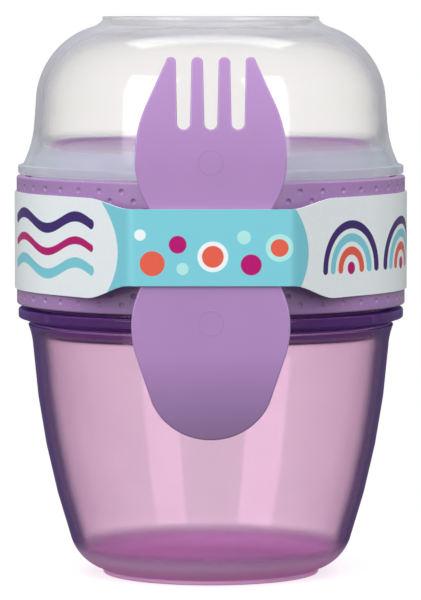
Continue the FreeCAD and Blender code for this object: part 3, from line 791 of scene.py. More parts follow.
# %% Dimple tiles
DIMPLES_PER_ROW = 48
DIMPLE_ROWS = 13
DIMPLE_PITCH = 2.375
DIMPLE_RADIUS = 0.8
DIMPLE_DEPTH = 0.44
DIMPLE_SIDES = 10
DIMPLE_RINGS = ((1.3, 0), (1, 0), (0.62, 0.68))
TILE_EIGHTHS = 8
TILE_WIDTH = math.tau * COLLAR_RADIUS / DIMPLES_PER_ROW
PLAIN_FIELD = math.radians(13) * COLLAR_RADIUS
BAND_BOTTOM = (COLLAR_BOTTOM + COLLAR_TOP - DIMPLE_ROWS * DIMPLE_PITCH) / 2
BAND_TOP = BAND_BOTTOM + DIMPLE_ROWS * DIMPLE_PITCH


def put_into(piece, shape):
    """Moves a shape that was drawn in millimetres into a piece's mesh."""
    shape.transform(Matrix.Scale(MM, 4))
    shape.to_mesh(piece.data)
    shape.free()


def circle(radius, count):
    """Points round a circle, as (across, up)."""
    angles = [math.tau * at / count for at in range(count)]
    return [(radius * math.cos(angle), radius * math.sin(angle)) for angle in angles]


def tile_border():
    """Points round the edge of a tile, in order, with eighths on its long sides."""
    half = DIMPLE_PITCH / 2
    across = [TILE_WIDTH * (at / TILE_EIGHTHS - 0.5) for at in range(TILE_EIGHTHS + 1)]
    low = [(x, 0, -half) for x in across]
    high = [(x, 0, half) for x in reversed(across)]
    return low + [(across[-1], 0, 0)] + high + [(across[0], 0, 0)]


def dimple_tile(shape):
    """A flat tile with one dimple: a ring that keeps its rim crisp, its rim, its bowl."""
    edge = [shape.verts.new(place) for place in tile_border()]
    loops = []
    for width, depth in DIMPLE_RINGS:
        points = circle(DIMPLE_RADIUS * width, DIMPLE_SIDES)
        loops.append([shape.verts.new((x, depth * DIMPLE_DEPTH, z)) for x, z in points])
    centre = shape.verts.new((0, DIMPLE_DEPTH, 0))
    for at in range(DIMPLE_SIDES):
        following = (at + 1) % DIMPLE_SIDES
        for outer, inner in zip(loops, loops[1:]):
            shape.faces.new((outer[at], outer[following], inner[following], inner[at]))
        shape.faces.new((loops[-1][at], loops[-1][following], centre))
    rim = [shape.edges.get((loops[0][at - 1], loops[0][at])) for at in range(DIMPLE_SIDES)]
    border = [shape.edges.new((edge[at - 1], edge[at])) for at in range(len(edge))]
    bmesh.ops.triangle_fill(shape, use_beauty=True, edges=rim + border)


def plain_tile(shape):
    shape.faces.new([shape.verts.new(place) for place in tile_border()])


def tile_piece(name, draw):
    piece = new_piece(name, [], [])
    shape = bmesh.new()
    draw(shape)
    put_into(piece, shape)
    print(f"{name}: {len(piece.data.polygons)} faces")
    return piece


plain = tile_piece("plain_tile", plain_tile)
dimpled = tile_piece("dimple_tile", dimple_tile)


# %% Dimple tree
def dimple_tree():
    nodes, given = new_tree(
        "dimpled_wall",
        ("Radius", "Bottom", "Row Pitch", "Plain Field"),
        {
            "Rows": "Int",
            "Tiles Per Row": "Int",
            "Dimple Tile": "Object",
            "Plain Tile": "Object",
            "Finish": "Material",
        },
    )
    radius = given["Radius"]
    per_row = given["Tiles Per Row"]
    points = nodes.add("GeometryNodePoints", {"Count": given["Rows"] * per_row})
    index = nodes.add("GeometryNodeInputIndex")
    row = (index / per_row).math("FLOOR")
    shift = 0.5 - row.math("MODULO", 2) * 0.5
    across = (index.math("MODULO", per_row) + shift - per_row / 2) * (radius * math.tau / per_row)
    up = given["Bottom"] + (row + 0.5) * given["Row Pitch"]
    spread = {"Geometry": points, "Position": nodes.vector(across, 0, up)}
    label = nodes.add("GeometryNodeSetPosition", spread)
    spot = nodes.add("ShaderNodeSeparateXYZ", {0: nodes.add("GeometryNodeInputPosition")})
    outside = abs(spot) > given["Plain Field"]
    tiles = []
    for title, selection in (("Dimple Tile", outside), ("Plain Tile", 1 - outside)):
        tile = nodes.add("GeometryNodeObjectInfo", {"Object": given[title]}, "Geometry")
        copies = {"Points": label, "Selection": selection, "Instance": tile}
        tiles.append(nodes.add("GeometryNodeInstanceOnPoints", copies))
    joined = nodes.add("GeometryNodeJoinGeometry", {"Geometry": tiles})
    flat = nodes.add("GeometryNodeRealizeInstances", {"Geometry": joined})
    angle = spot / radius
    reach = radius - spot.also("Y")
    around = nodes.vector(reach * angle.math("SINE"), reach * angle.math("COSINE") * -1, spot.also("Z"))
    rolled = nodes.add("GeometryNodeSetPosition", {"Geometry": flat, "Position": around})
    return close_tree(nodes, rolled, given["Finish"])


band_lengths = {
    "Radius": COLLAR_RADIUS,
    "Bottom": BAND_BOTTOM,
    "Row Pitch": DIMPLE_PITCH,
    "Plain Field": PLAIN_FIELD,
}
band_others = {
    "Rows": DIMPLE_ROWS,
    "Tiles Per Row": DIMPLES_PER_ROW,
    "Dimple Tile": dimpled,
    "Plain Tile": plain,
    "Finish": collar_plastic,
}
band = grow("dimple_band", dimple_tree(), band_lengths, band_others)
for tile in (dimpled, plain):
    bpy.data.objects.remove(tile)

# %% [markdown]
# The rest of the collar is one turned section: rounded rims, a bore on each side with a flange
# between them, and a hollow plug that reaches up into the clear cup and down into the base. It has
# eight segments for each tile, so that its rims meet the dimpled wall point to point, and the
# two meshes are welded into one.

# %% Collar sizes
COLLAR_ROUND = 0.5
COLLAR_EDGE = COLLAR_RADIUS - COLLAR_ROUND
COLLAR_MIDDLE = (COLLAR_BOTTOM + COLLAR_TOP) / 2
FLANGE_HALF = 1.25
PLUG_INNER = PLUG_RADIUS - 1.6
RIM_INNER = PLUG_RADIUS - 1.4
STEP_INNER = RIM_INNER - 1.4
STEP_TOP = PLUG_TOP - 0.8
WEB_TOP = PLUG_TOP - 1.5
WEB_BOTTOM = WEB_TOP - 1.8
LEDGE_INNER = PLUG_INNER - 1.0
LEDGE_BOTTOM = PLATE_HIGH.z + 0.1
LEDGE_TOP = LEDGE_BOTTOM + 1.5
BEAD_INNER = PLUG_INNER - 0.5
BEAD_TOP = PLUG_BOTTOM + 0.6
print(f"collar plug {PLUG_TOP - PLUG_BOTTOM:.1f} high, {2 * PLUG_RADIUS:.1f} across")

# %% Collar
upper_section = [
    (COLLAR_RADIUS, BAND_TOP),
    (COLLAR_RADIUS, COLLAR_TOP - COLLAR_ROUND),
    (COLLAR_EDGE, COLLAR_TOP, COLLAR_ROUND, LEFT),
    (COLLAR_BORE, COLLAR_TOP),
    (COLLAR_BORE, COLLAR_MIDDLE + FLANGE_HALF),
    (PLUG_RADIUS, COLLAR_MIDDLE + FLANGE_HALF),
    (PLUG_RADIUS, PLUG_TOP),
    (RIM_INNER, PLUG_TOP),
    (RIM_INNER, STEP_TOP),
    (STEP_INNER, STEP_TOP),
    (STEP_INNER, WEB_TOP),
    (0, WEB_TOP),
]
lower_section = [
    (0, WEB_BOTTOM),
    (PLUG_INNER, WEB_BOTTOM),
    (PLUG_INNER, LEDGE_TOP),
    (LEDGE_INNER, LEDGE_TOP),
    (LEDGE_INNER, LEDGE_BOTTOM),
    (PLUG_INNER, LEDGE_BOTTOM),
    (PLUG_INNER, BEAD_TOP),
    (BEAD_INNER, BEAD_TOP),
    (BEAD_INNER, PLUG_BOTTOM),
    (PLUG_RADIUS, PLUG_BOTTOM),
    (PLUG_RADIUS, COLLAR_MIDDLE - FLANGE_HALF),
    (COLLAR_BORE, COLLAR_MIDDLE - FLANGE_HALF),
    (COLLAR_BORE, COLLAR_BOTTOM),
    (COLLAR_EDGE, COLLAR_BOTTOM),
    (COLLAR_RADIUS, COLLAR_BOTTOM + COLLAR_ROUND, COLLAR_ROUND, LEFT),
    (COLLAR_RADIUS, BAND_BOTTOM),
]
collar = new_piece("twist_collar_shell", [], [], collar_plastic)
whole = bmesh.new()
whole.from_mesh(band.data)
for steps in (upper_section, lower_section):
    places, faces = turned(ease(trace(steps), MOULD_EASE), DIMPLES_PER_ROW * TILE_EIGHTHS)
    corners = [whole.verts.new(Vector(place) * MM) for place in places]
    for face in faces:
        whole.faces.new([corners[at] for at in face])
whole.to_mesh(collar.data)
whole.free()
bpy.data.objects.remove(band)
close_up(collar)
adopt(collar, "collar", "collar_plastic", "twist_collar")

# %% Threads in the collar
for name, height in (("base_side", COLLAR_BASE_THREAD), ("top_side", COLLAR_TOP_THREAD)):
    ridges = thread(f"collar_{name}_thread", COLLAR_BORE, -1, height, collar_plastic)
    adopt(ridges, "collar", "collar_plastic")

# %% [markdown]
# The tool hangs on a T-shaped rail in front of the collar, between two lips on its own back and
# under a stop. All of these are plain prisms with eased edges, so one helper raises an outline
# and another rounds edges.

# %% Prisms
CLIP_EASE = 0.22
CLIP_EASE_STEPS = 2


def raise_outline(shape, corners, by):
    """Adds a prism to a shape: a face on these corners, and its copy moved by a vector."""
    face = shape.faces.new([shape.verts.new(corner) for corner in corners])
    raised = bmesh.ops.extrude_face_region(shape, geom=[face])["geom"]
    moved = [item for item in raised if isinstance(item, bmesh.types.BMVert)]
    bmesh.ops.translate(shape, verts=moved, vec=by)


def round_edges(shape, edges, reach, steps):
    bmesh.ops.bevel(
        shape, geom=edges, offset=reach, segments=steps, profile=0.5, affect="EDGES", clamp_overlap=True
    )


def prisms(name, finish, *parts):
    """One piece of several prisms, each an outline seen from above and two heights."""
    piece = new_piece(name, [], [], finish)
    shape = bmesh.new()
    for outline, low, high in parts:
        raise_outline(shape, [(x, y, low) for x, y in outline], (0, 0, high - low))
    round_edges(shape, list(shape.edges), CLIP_EASE, CLIP_EASE_STEPS)
    put_into(piece, shape)
    return close_up(piece)


# %% Rail and clip
RAIL_HALF_HEIGHT = 4.0
RAIL_LOW = COLLAR_MIDDLE - RAIL_HALF_HEIGHT
RAIL_HIGH = COLLAR_MIDDLE + RAIL_HALF_HEIGHT
RAIL_STEM = 3.0
RAIL_HEAD = 5.2
RAIL_HEAD_BACK = RAIL_FRONT + 1.7
RAIL_ROOT = -COLLAR_RADIUS + COLLAR_WALL / 2
LIP_THICKNESS = 1.6
LIP_GAP = 0.4
LIP_END = RAIL_STEM + LIP_GAP
LIP_FRONT = SPORK_HIGH.y - LIP_THICKNESS
LEG_INNER = RAIL_HEAD + LIP_GAP
LEG_OUTER = LEG_INNER + LIP_THICKNESS
CLIP_BACK = SPORK_HIGH.y
CLIP_ROOT = RAIL_FRONT - 1.3
STOP_LOW = RAIL_HIGH + 0.06
STOP_HIGH = STOP_LOW + LIP_THICKNESS

rail_right = [
    (RAIL_STEM, RAIL_ROOT),
    (RAIL_STEM, RAIL_HEAD_BACK),
    (RAIL_HEAD, RAIL_HEAD_BACK),
    (RAIL_HEAD, RAIL_FRONT),
]
rail = prisms("collar_rail", collar_plastic, (rail_right + mirrored(rail_right), RAIL_LOW, RAIL_HIGH))
adopt(rail, "collar", "collar_plastic")

right_lip = [
    (LEG_OUTER, CLIP_ROOT),
    (LEG_OUTER, CLIP_BACK),
    (LIP_END, CLIP_BACK),
    (LIP_END, LIP_FRONT),
    (LEG_INNER, LIP_FRONT),
    (LEG_INNER, CLIP_ROOT),
]
stop_right = [(LEG_OUTER, CLIP_BACK), (LEG_OUTER, CLIP_ROOT)]
clip = prisms(
    "spork_clip",
    spork_plastic,
    (right_lip, RAIL_LOW, RAIL_HIGH),
    (mirrored(right_lip), RAIL_LOW, RAIL_HIGH),
    (stop_right + mirrored(stop_right), STOP_LOW, STOP_HIGH),
)
adopt(clip, "spork", "spork_plastic")

# %% [markdown]
# The tool is a fork above and a spoon below, moulded as one plate that bows back at both ends.
# Sculpting could give its shape, but a flat outline and one bow for each end are all it has. The
# outline is drawn from arcs that a pair of compasses could draw, and raised to a plate whose rim
# is rounded all round: that rim is what catches the light. Only then is the plate sliced across
# and bowed, because bevels come out even on a flat plate. Two faint circles, left by the pins that
# push the tool out of the mould, are thin rings on its face.
#
# The places on a side are shares of the half width there and of the length from the near end, with
# the radius and turn of the arc that leads to them.

# %% Spork outline
SPORK_LENGTH = SPORK_HIGH.z - SPORK_LOW.z
SPORK_MIDDLE = (SPORK_HIGH.z + SPORK_LOW.z) / 2
FORK_HALF = 18.85
FORK_SIDE = ((0.854, 0.1229), (1, 0.26, 32.4, RIGHT), (0.8435, 0.3808, 22.0, RIGHT))
WAIST_HALF = 13.75
WAIST_ROUND = 12.0
WAIST_TOP = SPORK_HIGH.z - SPORK_LENGTH * 0.454
WAIST_BOTTOM = SPORK_LOW.z + SPORK_LENGTH * 0.5031
SPOON_HALF = SPORK_HIGH.x
SPOON_SIDE = (
    (0.8051, 0.431, WAIST_ROUND, LEFT),
    (1, 0.3023, 21.6, RIGHT),
    (0.9215, 0.2134, 24.3, RIGHT),
    (0.7392, 0.0999),
)
SPOON_TIP_ROUND = 15.94
SLOT_SPACING = 6.75
SLOT_HALF = 1.6
SLOT_MOUTH_HALF = 1.925
SLOT_DEPTH = 17.9
OUTER_TINE_WIDTH = 2.5
OUTER_TINE_ROUND = 1.1
OUTER_TINE_DROP = 1.05


def spork_outline():
    """The right half of the tool, from the middle slot's end round to the spoon's tip."""
    top = SPORK_HIGH.z
    bottom = SPORK_LOW.z
    fork = [(FORK_HALF * wide, top - SPORK_LENGTH * down, *arc) for wide, down, *arc in FORK_SIDE]
    spoon = [(SPOON_HALF * wide, bottom + SPORK_LENGTH * up, *arc) for wide, up, *arc in SPOON_SIDE]
    slot_bottom = top - SLOT_DEPTH
    slot_turn = slot_bottom + SLOT_HALF
    tine = SLOT_SPACING / 2 - SLOT_MOUTH_HALF
    outer_tine = SLOT_SPACING + SLOT_MOUTH_HALF
    tip_outer = outer_tine + OUTER_TINE_WIDTH
    return [
        (0, slot_bottom),
        (SLOT_HALF, slot_turn, SLOT_HALF, LEFT),
        (SLOT_MOUTH_HALF, top - tine),
        (SLOT_SPACING / 2, top, tine, RIGHT),
        (SLOT_SPACING / 2 + tine, top - tine, tine, RIGHT),
        (SLOT_SPACING - SLOT_HALF, slot_turn),
        (SLOT_SPACING, slot_bottom, SLOT_HALF, LEFT),
        (SLOT_SPACING + SLOT_HALF, slot_turn, SLOT_HALF, LEFT),
        (outer_tine, top - OUTER_TINE_ROUND),
        (outer_tine + OUTER_TINE_ROUND, top, OUTER_TINE_ROUND, RIGHT),
        (tip_outer - OUTER_TINE_ROUND, top),
        (tip_outer, top - OUTER_TINE_DROP, OUTER_TINE_ROUND, RIGHT),
        *fork,
        (WAIST_HALF, WAIST_TOP, WAIST_ROUND, LEFT),
        (WAIST_HALF, WAIST_BOTTOM),
        *spoon,
        (0, bottom, SPOON_TIP_ROUND, RIGHT),
    ]


right_half = trace(spork_outline())
outline = right_half + mirrored(right_half[1:-1])
print(f"spork outline: {len(outline)} points, {SPORK_LENGTH:.1f} long")

# %% Spork
SPORK_THICKNESS = 2.0
RIM_ROUND = 0.9
RIM_STEPS = 5
FLAT_MARGIN = 0.3
SLICE_STEP = 1.6
FORK_STRAIGHT = 20.0
FORK_BOW_RADIUS = 92.45
SPOON_STRAIGHT = 26.0
SPOON_BOW_RADIUS = 43.81
PIN_MARK_HEIGHTS = (109.4, 69.5)
PIN_MARK_RADIUS = 3.05
PIN_MARK_HALF = 0.22
PIN_MARK_PROUD = 0.08
PIN_MARK_SEGMENTS = 72


def bowed(height):
    """How far back the tool's plate lies at a height."""
    if height > SPORK_MIDDLE:
        radius = FORK_BOW_RADIUS
        beyond = max(height - SPORK_MIDDLE - FORK_STRAIGHT, 0)
    else:
        radius = SPOON_BOW_RADIUS
        beyond = max(SPORK_MIDDLE - height - SPOON_STRAIGHT, 0)
    return radius - math.sqrt(radius**2 - beyond**2)


def plate(shape):
    """The flat plate with its rounded rim, sliced across."""
    raise_outline(shape, [(x, SPORK_LOW.y, z) for x, z in outline], (0, SPORK_THICKNESS, 0))
    rims = [edge for edge in shape.edges if abs(edge.verts[0].co.y - edge.verts[1].co.y) < WELD]
    round_edges(shape, rims, RIM_ROUND, RIM_STEPS)
    shape.normal_update()
    flats = sorted(shape.faces, key=lambda one: one.calc_area())[-2:]
    for flat in flats:
        bmesh.ops.inset_region(shape, faces=[flat], thickness=FLAT_MARGIN, use_even_offset=True)
    slices = int(SPORK_LENGTH / SLICE_STEP)
    for at in range(1, slices):
        level = SPORK_LOW.z + SPORK_LENGTH * at / slices
        everything = shape.verts[:] + shape.edges[:] + shape.faces[:]
        bmesh.ops.bisect_plane(shape, geom=everything, plane_co=(0, 0, level), plane_no=(0, 0, 1))


def pin_mark(shape, height):
    """A thin ring on the tool's face: two feet sunk in it, and a crest that stands proud."""
    foot = SPORK_LOW.y + PIN_MARK_PROUD
    crest = SPORK_LOW.y - PIN_MARK_PROUD
    loops = []
    for offset, y in ((-PIN_MARK_HALF, foot), (0, crest), (PIN_MARK_HALF, foot)):
        points = circle(PIN_MARK_RADIUS + offset, PIN_MARK_SEGMENTS)
        loops.append([shape.verts.new((x, y, height + z)) for x, z in points])
    for first, second in zip(loops, loops[1:] + loops[:1]):
        for at in range(PIN_MARK_SEGMENTS):
            shape.faces.new((first[at - 1], first[at], second[at], second[at - 1]))


spork = new_piece("spork_plate", [], [], spork_plastic)
tool = bmesh.new()
plate(tool)
for height in PIN_MARK_HEIGHTS:
    pin_mark(tool, height)
for corner in tool.verts:
    corner.co.y += bowed(corner.co.z)
put_into(spork, tool)
close_up(spork)
adopt(spork, "spork", "spork_plastic", "spork")

# %% [markdown]
# The sleeve is a strip of coated card, printed outside and bare inside, wrapped round collar and
# tool and glued to itself at the back. Cloth simulation could wrap it, but card only bends one way
# and keeps its length, so its path seen from above says everything: round the collar, off it
# on two tangents, and flat across the tool. The strip overlaps itself behind the right shoulder.
# Its edges swing up and down in soft steps beside the tool, as the die cut them. Each point keeps
# its distance along the strip in a UV map, so the print runs along the card as on the press.

# %% Sleeve path
CARD = 0.35
HAIR = 0.01
SLEEVE_RADIUS = SLEEVE_HIGH.x - CARD - HAIR
SLEEVE_FRONT = -SLEEVE_LOW.y - CARD - HAIR
SLEEVE_CORNER = SPORK_HIGH.x + 0.3
FOLD_ROUND = 1.6
PATH_STEP = 0.9


def sleeve_half():
    """The card's inner face from above: from the middle of the front, round the right, to the back."""
    corner = Vector((SLEEVE_CORNER, -SLEEVE_FRONT))
    lean = math.atan2(SLEEVE_CORNER, SLEEVE_FRONT)
    touch_angle = lean + math.acos(SLEEVE_RADIUS / corner.length) - math.pi / 2
    touch = Vector((math.cos(touch_angle), math.sin(touch_angle))) * SLEEVE_RADIUS
    fold = ease([Vector((0, -SLEEVE_FRONT)), corner, touch], FOLD_ROUND)
    return fold + arc_points(touch, Vector((0, SLEEVE_RADIUS)), SLEEVE_RADIUS, LEFT)


class Loop:
    """A closed line that can be asked for the point, and the outward side, at any length along it."""

    def __init__(self, points):
        self.points = points
        self.starts = [0.0]
        for a, b in zip(points, points[1:] + points[:1]):
            self.starts.append(self.starts[-1] + (b - a).length)
        self.length = self.starts[-1]

    def at(self, length):
        length %= self.length
        index = max(i for i, start in enumerate(self.starts[:-1]) if start <= length)
        share = (length - self.starts[index]) / (self.starts[index + 1] - self.starts[index])
        return self.points[index].lerp(self.points[(index + 1) % len(self.points)], share)

    def outward(self, length):
        ahead = (self.at(length + PATH_STEP) - self.at(length - PATH_STEP)).normalized()
        return Vector((ahead.y, -ahead.x))


right_side = sleeve_half()
sleeve_path = Loop(right_side + mirrored(right_side[1:-1]))
print(f"sleeve: {sleeve_path.length:.1f} round")

# %% Sleeve
STEP_WIDTH = 11.0
FRONT_DROP = 2.2
FRONT_RISE = 3.9
SEAM_ANGLE = math.radians(48)
OVERLAP = 13.0
LIFT_RUN = 9.0
SEAM_LIFT = 1.1 * CARD
SLEEVE_ROWS = 8
UV_SCALE = 100.0


def smooth_step(value):
    value = min(max(value, 0), 1)
    return value * value * (3 - 2 * value)


def sleeve_edges(place):
    """The lower and upper edge of the card at a point of its path."""
    step = smooth_step((abs(place.x) - SLEEVE_CORNER) / STEP_WIDTH) if place.y < 0 else 1
    return SLEEVE_LOW.z + FRONT_RISE * (1 - step), SLEEVE_HIGH.z - FRONT_DROP * (1 - step)


def sleeve_sections():
    """Each step along the strip: its length, and the points up its outer and down its inner face."""
    seam = sleeve_path.length / 2 - SLEEVE_RADIUS * (math.pi / 2 - SEAM_ANGLE)
    end = seam + OVERLAP
    start = seam - sleeve_path.length
    count = round((end - start) / PATH_STEP)
    sections = []
    for at in range(count + 1):
        along = start + (end - start) * at / count
        lift = smooth_step((along - end + OVERLAP + LIFT_RUN) / LIFT_RUN) * SEAM_LIFT
        place = sleeve_path.at(along)
        outward = sleeve_path.outward(along)
        low, high = sleeve_edges(place)
        heights = [low + (high - low) * row / SLEEVE_ROWS for row in range(SLEEVE_ROWS + 1)]
        outer = [(*(place + outward * (lift + CARD)), height) for height in heights]
        inner = [(*(place + outward * lift), height) for height in reversed(heights)]
        sections.append((along, outer + inner))
    return sections


def sleeve_mesh(printed, bare):
    sections = sleeve_sections()
    places = [place for along, points in sections for place in points]
    around = 2 * (SLEEVE_ROWS + 1)
    last = around * (len(sections) - 1)
    faces = []
    for first in range(0, last, around):
        for at in range(around):
            following = (at + 1) % around
            near = (first + at, first + following)
            faces.append([*near, near[1] + around, near[0] + around])
    for first in (0, last):
        for row in range(SLEEVE_ROWS):
            inner = first + around - 1 - row
            faces.append([first + row, first + row + 1, inner - 1, inner])
    piece = new_piece("card_sleeve_strip", places, faces, printed, bare)
    chart = piece.data.uv_layers.new(name="print")
    for loop in piece.data.loops:
        along = sections[loop.vertex_index // around][0]
        up = places[loop.vertex_index][2] - SLEEVE_LOW.z
        chart.data[loop.index].uv = (along / UV_SCALE, up / UV_SCALE)
    for polygon in piece.data.polygons:
        outside = polygon.index < last and polygon.index % around < SLEEVE_ROWS
        polygon.material_index = 0 if outside else 1
    return piece


# %% [markdown]
# The print is worked out, not painted: teal, magenta, violet and coral shapes on white, made of
# discs, arches and waves whose edges are distances in millimetres along the card. A picture could
# be mapped instead, but a formula stays sharp at any size. Paper fibres mottle it very faintly, and
# a thin varnish gives the outside its soft gloss. The bare inside and the cut edges are dull.

# %% Inks
INK_EDGE = 0.09
WAVE_LENGTH = 26.0
WHITE_INK = (0.88, 0.94, 0.96, 1)
TEAL_INK = (0.21, 0.63, 0.73, 1)
MINT_INK = (0.45, 0.83, 0.8, 1)
MAGENTA_INK = (0.48, 0.002, 0.16, 1)
VIOLET_INK = (0.045, 0.017, 0.155, 1)
CORAL_INK = (0.8, 0.12, 0.07, 1)


def distance(across, rise):
    return (across * across + rise * rise).math("SQRT")


class Print:
    """Ink shapes laid over each other on the card."""

    def __init__(self, nodes, along, up, paper):
        self.nodes = nodes
        self.along = along
        self.up = up
        self.colour = paper

    def lay(self, ink, outside):
        """Prints an ink wherever a distance from its edge is below zero."""
        self.colour = self.nodes.mix(1 - outside.fade(-INK_EDGE, INK_EDGE), self.colour, ink)

    def disc(self, ink, along, up, radius):
        self.lay(ink, distance(self.along - along, self.up - up) - radius)

    def arch(self, ink, along, up, radius, width):
        rise = (self.up - up).math("MAXIMUM", 0)
        below = (up - self.up).math("MAXIMUM", 0)
        off_line = abs(distance(self.along - along, rise) - radius)
        self.lay(ink, distance(off_line, below) - width / 2)

    def wave(self, ink, start, end, up, swing, width):
        held = self.along.math("MAXIMUM", start).math("MINIMUM", end)
        rise = self.up - up - ((held - start) * (math.tau / WAVE_LENGTH)).math("SINE") * swing
        self.lay(ink, distance(self.along - held, rise) - width / 2)


# %% Print
PANEL_MIDDLE = 1
PANEL_HALF = 25.5
PANEL_UP = 12
PANEL_SWELL = 0.045
BACK_PANEL_START = 112
SPOTS = (
    (-14.5, 9.5, 3.1, CORAL_INK),
    (-8.2, 14.2, 2.2, MAGENTA_INK),
    (-7.0, 8.2, 1.5, MINT_INK),
    (-17.5, 16.6, 1.4, WHITE_INK),
    (0.5, 11.2, 3.8, WHITE_INK),
    (0.5, 11.2, 2.7, CORAL_INK),
    (8.2, 16.0, 1.7, MINT_INK),
    (10.0, 9.2, 2.6, MAGENTA_INK),
    (17.0, 13.4, 3.4, MINT_INK),
    (17.0, 13.4, 2.2, CORAL_INK),
)
WAVES = ((18.6, VIOLET_INK, 2.6), (12.6, MAGENTA_INK, 2.0), (7.0, TEAL_INK, 2.6))
WAVE_START = -75
WAVE_END = -36
WAVE_SWING = 1.7
ARCHES = ((11.2, VIOLET_INK), (7.9, TEAL_INK), (4.6, CORAL_INK))
ARCH_CENTRES = (45, 72, 99)
ARCH_FOOT = 7.0
ARCH_WIDTH = 2.1
ARCH_DOT_UP = 7.2
ARCH_DOT = 1.6


def draw_print(sheet):
    """A teal panel with round spots in front, waves on the left, arches on the right, teal behind."""
    across = sheet.along - PANEL_MIDDLE
    rise = sheet.up - PANEL_UP
    swell = rise * rise * PANEL_SWELL
    sheet.lay(TEAL_INK, abs(across) - PANEL_HALF + swell * across.math("SIGN"))
    for along, up, radius, ink in SPOTS:
        sheet.disc(ink, along, up, radius)
    for up, ink, width in WAVES:
        sheet.wave(ink, WAVE_START, WAVE_END, up, WAVE_SWING, width)
    for centre in ARCH_CENTRES:
        for radius, ink in ARCHES:
            sheet.arch(ink, centre, ARCH_FOOT, radius, ARCH_WIDTH)
        sheet.disc(MAGENTA_INK, centre, ARCH_DOT_UP, ARCH_DOT)
    sheet.lay(TEAL_INK, BACK_PANEL_START - abs(sheet.along) - swell)


# %% Card
FIBRE_SCALE = 1400
FIBRE_DEPTH = 0.03 * MM
FIBRE_SHADE = (0.85, 0.91, 0.93, 1)
VARNISH_ROUGHNESS = 0.32
BARE_ROUGHNESS = 0.75


def card(name, inked):
    finish, nodes = new_finish(name)
    fibre = nodes.noise(FIBRE_SCALE, 5)
    colour = nodes.mix(fibre.fade(0.35, 0.7), WHITE_INK, FIBRE_SHADE)
    roughness = BARE_ROUGHNESS
    if inked:
        chart = nodes.add("ShaderNodeUVMap", uv_map="print")
        flat = nodes.add("ShaderNodeSeparateXYZ", {0: chart})
        sheet = Print(nodes, flat * UV_SCALE, flat.also("Y") * UV_SCALE, colour)
        draw_print(sheet)
        colour = sheet.colour
        roughness = VARNISH_ROUGHNESS
    bump = nodes.bump(fibre, 0.15, FIBRE_DEPTH)
    surface = nodes.principled(colour, roughness + (fibre - 0.5) * 0.12, {"Normal": bump})
    nodes.add("ShaderNodeOutputMaterial", {"Surface": surface})
    return finish


printed_card = card("printed_card", True)
bare_card = card("bare_card", False)
sleeve = close_up(sleeve_mesh(printed_card, bare_card))
adopt(sleeve, "sleeve", "printed_card", "card_sleeve")

# %% [markdown]
# The set is a photographer's white table in a dim room. The floor and the backdrop are white to the
# camera, also through the clear cups. To reflections and to the light that falls on the object
# they are dim, as a studio is: in an all-white room clear plastic loses its outline, while in a
# dim one the edges of the cups, which mirror the room, turn dark. Close to the foot the floor takes
# the soft shadow, and further out it is plain white. Two tall softboxes stand to the left and right
# of the camera and give the cups their upright reflections. One hangs above, one behind it lights
# the crown, and four dim fills light the front, the sides and the back. The large top one and the
# fills are kept out of the reflections and of the view through the cups, as a photographer hides
# them behind black flags.

# %% Stage
FLOOR_SIZE = 6.0
FLOOR_GLOW = 0.7
FLOOR_SHADE = 0.4
SHADOW_REACH = (0.05, 0.14)
FLOOR_BOUNCE = 0.08
ROOM_LIGHT = 0.15
MIRRORED_SHARE = 0.18


def grey(level):
    return (level, level, level, 1)


def looked_at(nodes):
    """1 for a ray from the camera, also through a clear piece, less past a mirror, and 0 for light."""
    path = nodes.add("ShaderNodeLightPath", output="Is Camera Ray")
    mirrored_too = path.math("MAXIMUM", path.also("Is Glossy Ray"))
    seen = mirrored_too.math("MAXIMUM", path.also("Is Transmission Ray"))
    dimmed = (path.also("Glossy Depth") > 0.5) * (1 - MIRRORED_SHARE)
    return seen * (path.also("Diffuse Depth") < 0.5) * (1 - dimmed)


def floor_finish():
    finish, nodes = new_finish("studio_floor")
    bounce = nodes.add("ShaderNodeBsdfDiffuse", {"Color": grey(FLOOR_BOUNCE)})
    shaded = nodes.add("ShaderNodeBsdfDiffuse", {"Color": grey(FLOOR_SHADE)})
    glow = nodes.add("ShaderNodeEmission", {"Strength": FLOOR_GLOW})
    near = nodes.add("ShaderNodeAddShader", {0: shaded, 1: glow})
    far = nodes.add("ShaderNodeEmission", {"Strength": 1})
    away = nodes.add("ShaderNodeVectorMath", {0: nodes.place()}, "Value", operation="LENGTH")
    table = nodes.add("ShaderNodeMixShader", {0: away.fade(*SHADOW_REACH), 1: near, 2: far})
    whole = nodes.add("ShaderNodeMixShader", {0: looked_at(nodes), 1: bounce, 2: table})
    nodes.add("ShaderNodeOutputMaterial", {"Surface": whole})
    return finish


edge = FLOOR_SIZE / 2 / MM
corners = [(-edge, -edge, 0), (edge, -edge, 0), (edge, edge, 0), (-edge, edge, 0)]
floor = new_piece("studio_floor", corners, [(0, 1, 2, 3)], floor_finish())

world = bpy.data.worlds.new("studio")
bpy.context.scene.world = world
world.use_nodes = True
sky = Nodes(world.node_tree)
room = sky.add("ShaderNodeBackground", {"Color": grey(1), "Strength": ROOM_LIGHT})
paper = sky.add("ShaderNodeBackground", {"Color": grey(1), "Strength": 1})
backdrop = sky.add("ShaderNodeMixShader", {0: looked_at(sky), 1: room, 2: paper})
sky.add("ShaderNodeOutputWorld", {"Surface": backdrop})

print(f"floor {FLOOR_SIZE:.0f} m wide, room at {ROOM_LIGHT} of white")

# %% Lights
LIGHT_TARGET = Vector((0, 0, 0.085))
MIRRORED_LIGHTS = ("left_softbox", "right_softbox", "back_softbox")


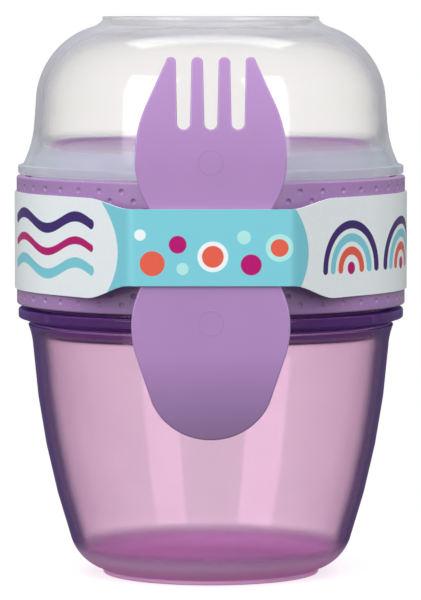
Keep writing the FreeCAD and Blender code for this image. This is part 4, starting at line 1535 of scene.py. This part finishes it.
def softbox(name, azimuth, elevation, distance, width, height, watts):
    """A rectangular light that faces the container, placed by its direction from it in degrees."""
    lamp = bpy.data.lights.new(name, "AREA")
    lamp.shape = "RECTANGLE"
    lamp.size = width
    lamp.size_y = height
    lamp.energy = watts
    turn = math.radians(azimuth)
    rise = math.radians(elevation)
    out = Vector((math.sin(turn) * math.cos(rise), -math.cos(turn) * math.cos(rise), math.sin(rise)))
    holder = bpy.data.objects.new(name, lamp)
    holder.location = LIGHT_TARGET + out * distance
    holder.rotation_euler = (-out).to_track_quat("-Z", "Y").to_euler()
    holder.visible_glossy = name in MIRRORED_LIGHTS
    holder.visible_transmission = name in MIRRORED_LIGHTS
    bpy.context.scene.collection.objects.link(holder)
    return holder


lights = [
    softbox("left_softbox", -43, 20, 1.2, 0.66, 0.88, 6.6),
    softbox("right_softbox", 38, 20, 1.2, 0.56, 0.88, 4.9),
    softbox("top_softbox", 0, 70, 1.3, 1.5, 1.1, 12.5),
    softbox("back_softbox", 180, 72, 1.3, 1.2, 0.4, 3.0),
    softbox("front_fill", 0, 35, 1.4, 1.2, 0.8, 3.0),
    softbox("left_fill", -88, 42, 1.3, 1.0, 1.0, 4.5),
    softbox("right_fill", 86, 42, 1.3, 1.0, 1.0, 3.2),
    softbox("back_fill", 180, 25, 1.3, 1.2, 0.8, 2.4),
]
print("lights:", ", ".join(light.name for light in lights))

# %% [markdown]
# The camera stands in front, a little above the collar, with a long lens, as a product
# photographer's does to keep the sides of a cup upright.

# %% Camera
CAMERA_PLACE = (-0.00008, -1.1, 0.148)
CAMERA_DOWN = 3.989
CAMERA_LENS = 253.13
SENSOR_WIDTH = 36.0
lens = bpy.data.cameras.new("camera")
lens.sensor_width = SENSOR_WIDTH
lens.lens = CAMERA_LENS
camera = bpy.data.objects.new("camera", lens)
camera.location = CAMERA_PLACE
camera.rotation_euler = (math.radians(90 - CAMERA_DOWN), 0, 0)
bpy.context.scene.collection.objects.link(camera)
bpy.context.scene.camera = camera
bpy.context.scene.view_settings.view_transform = "Standard"
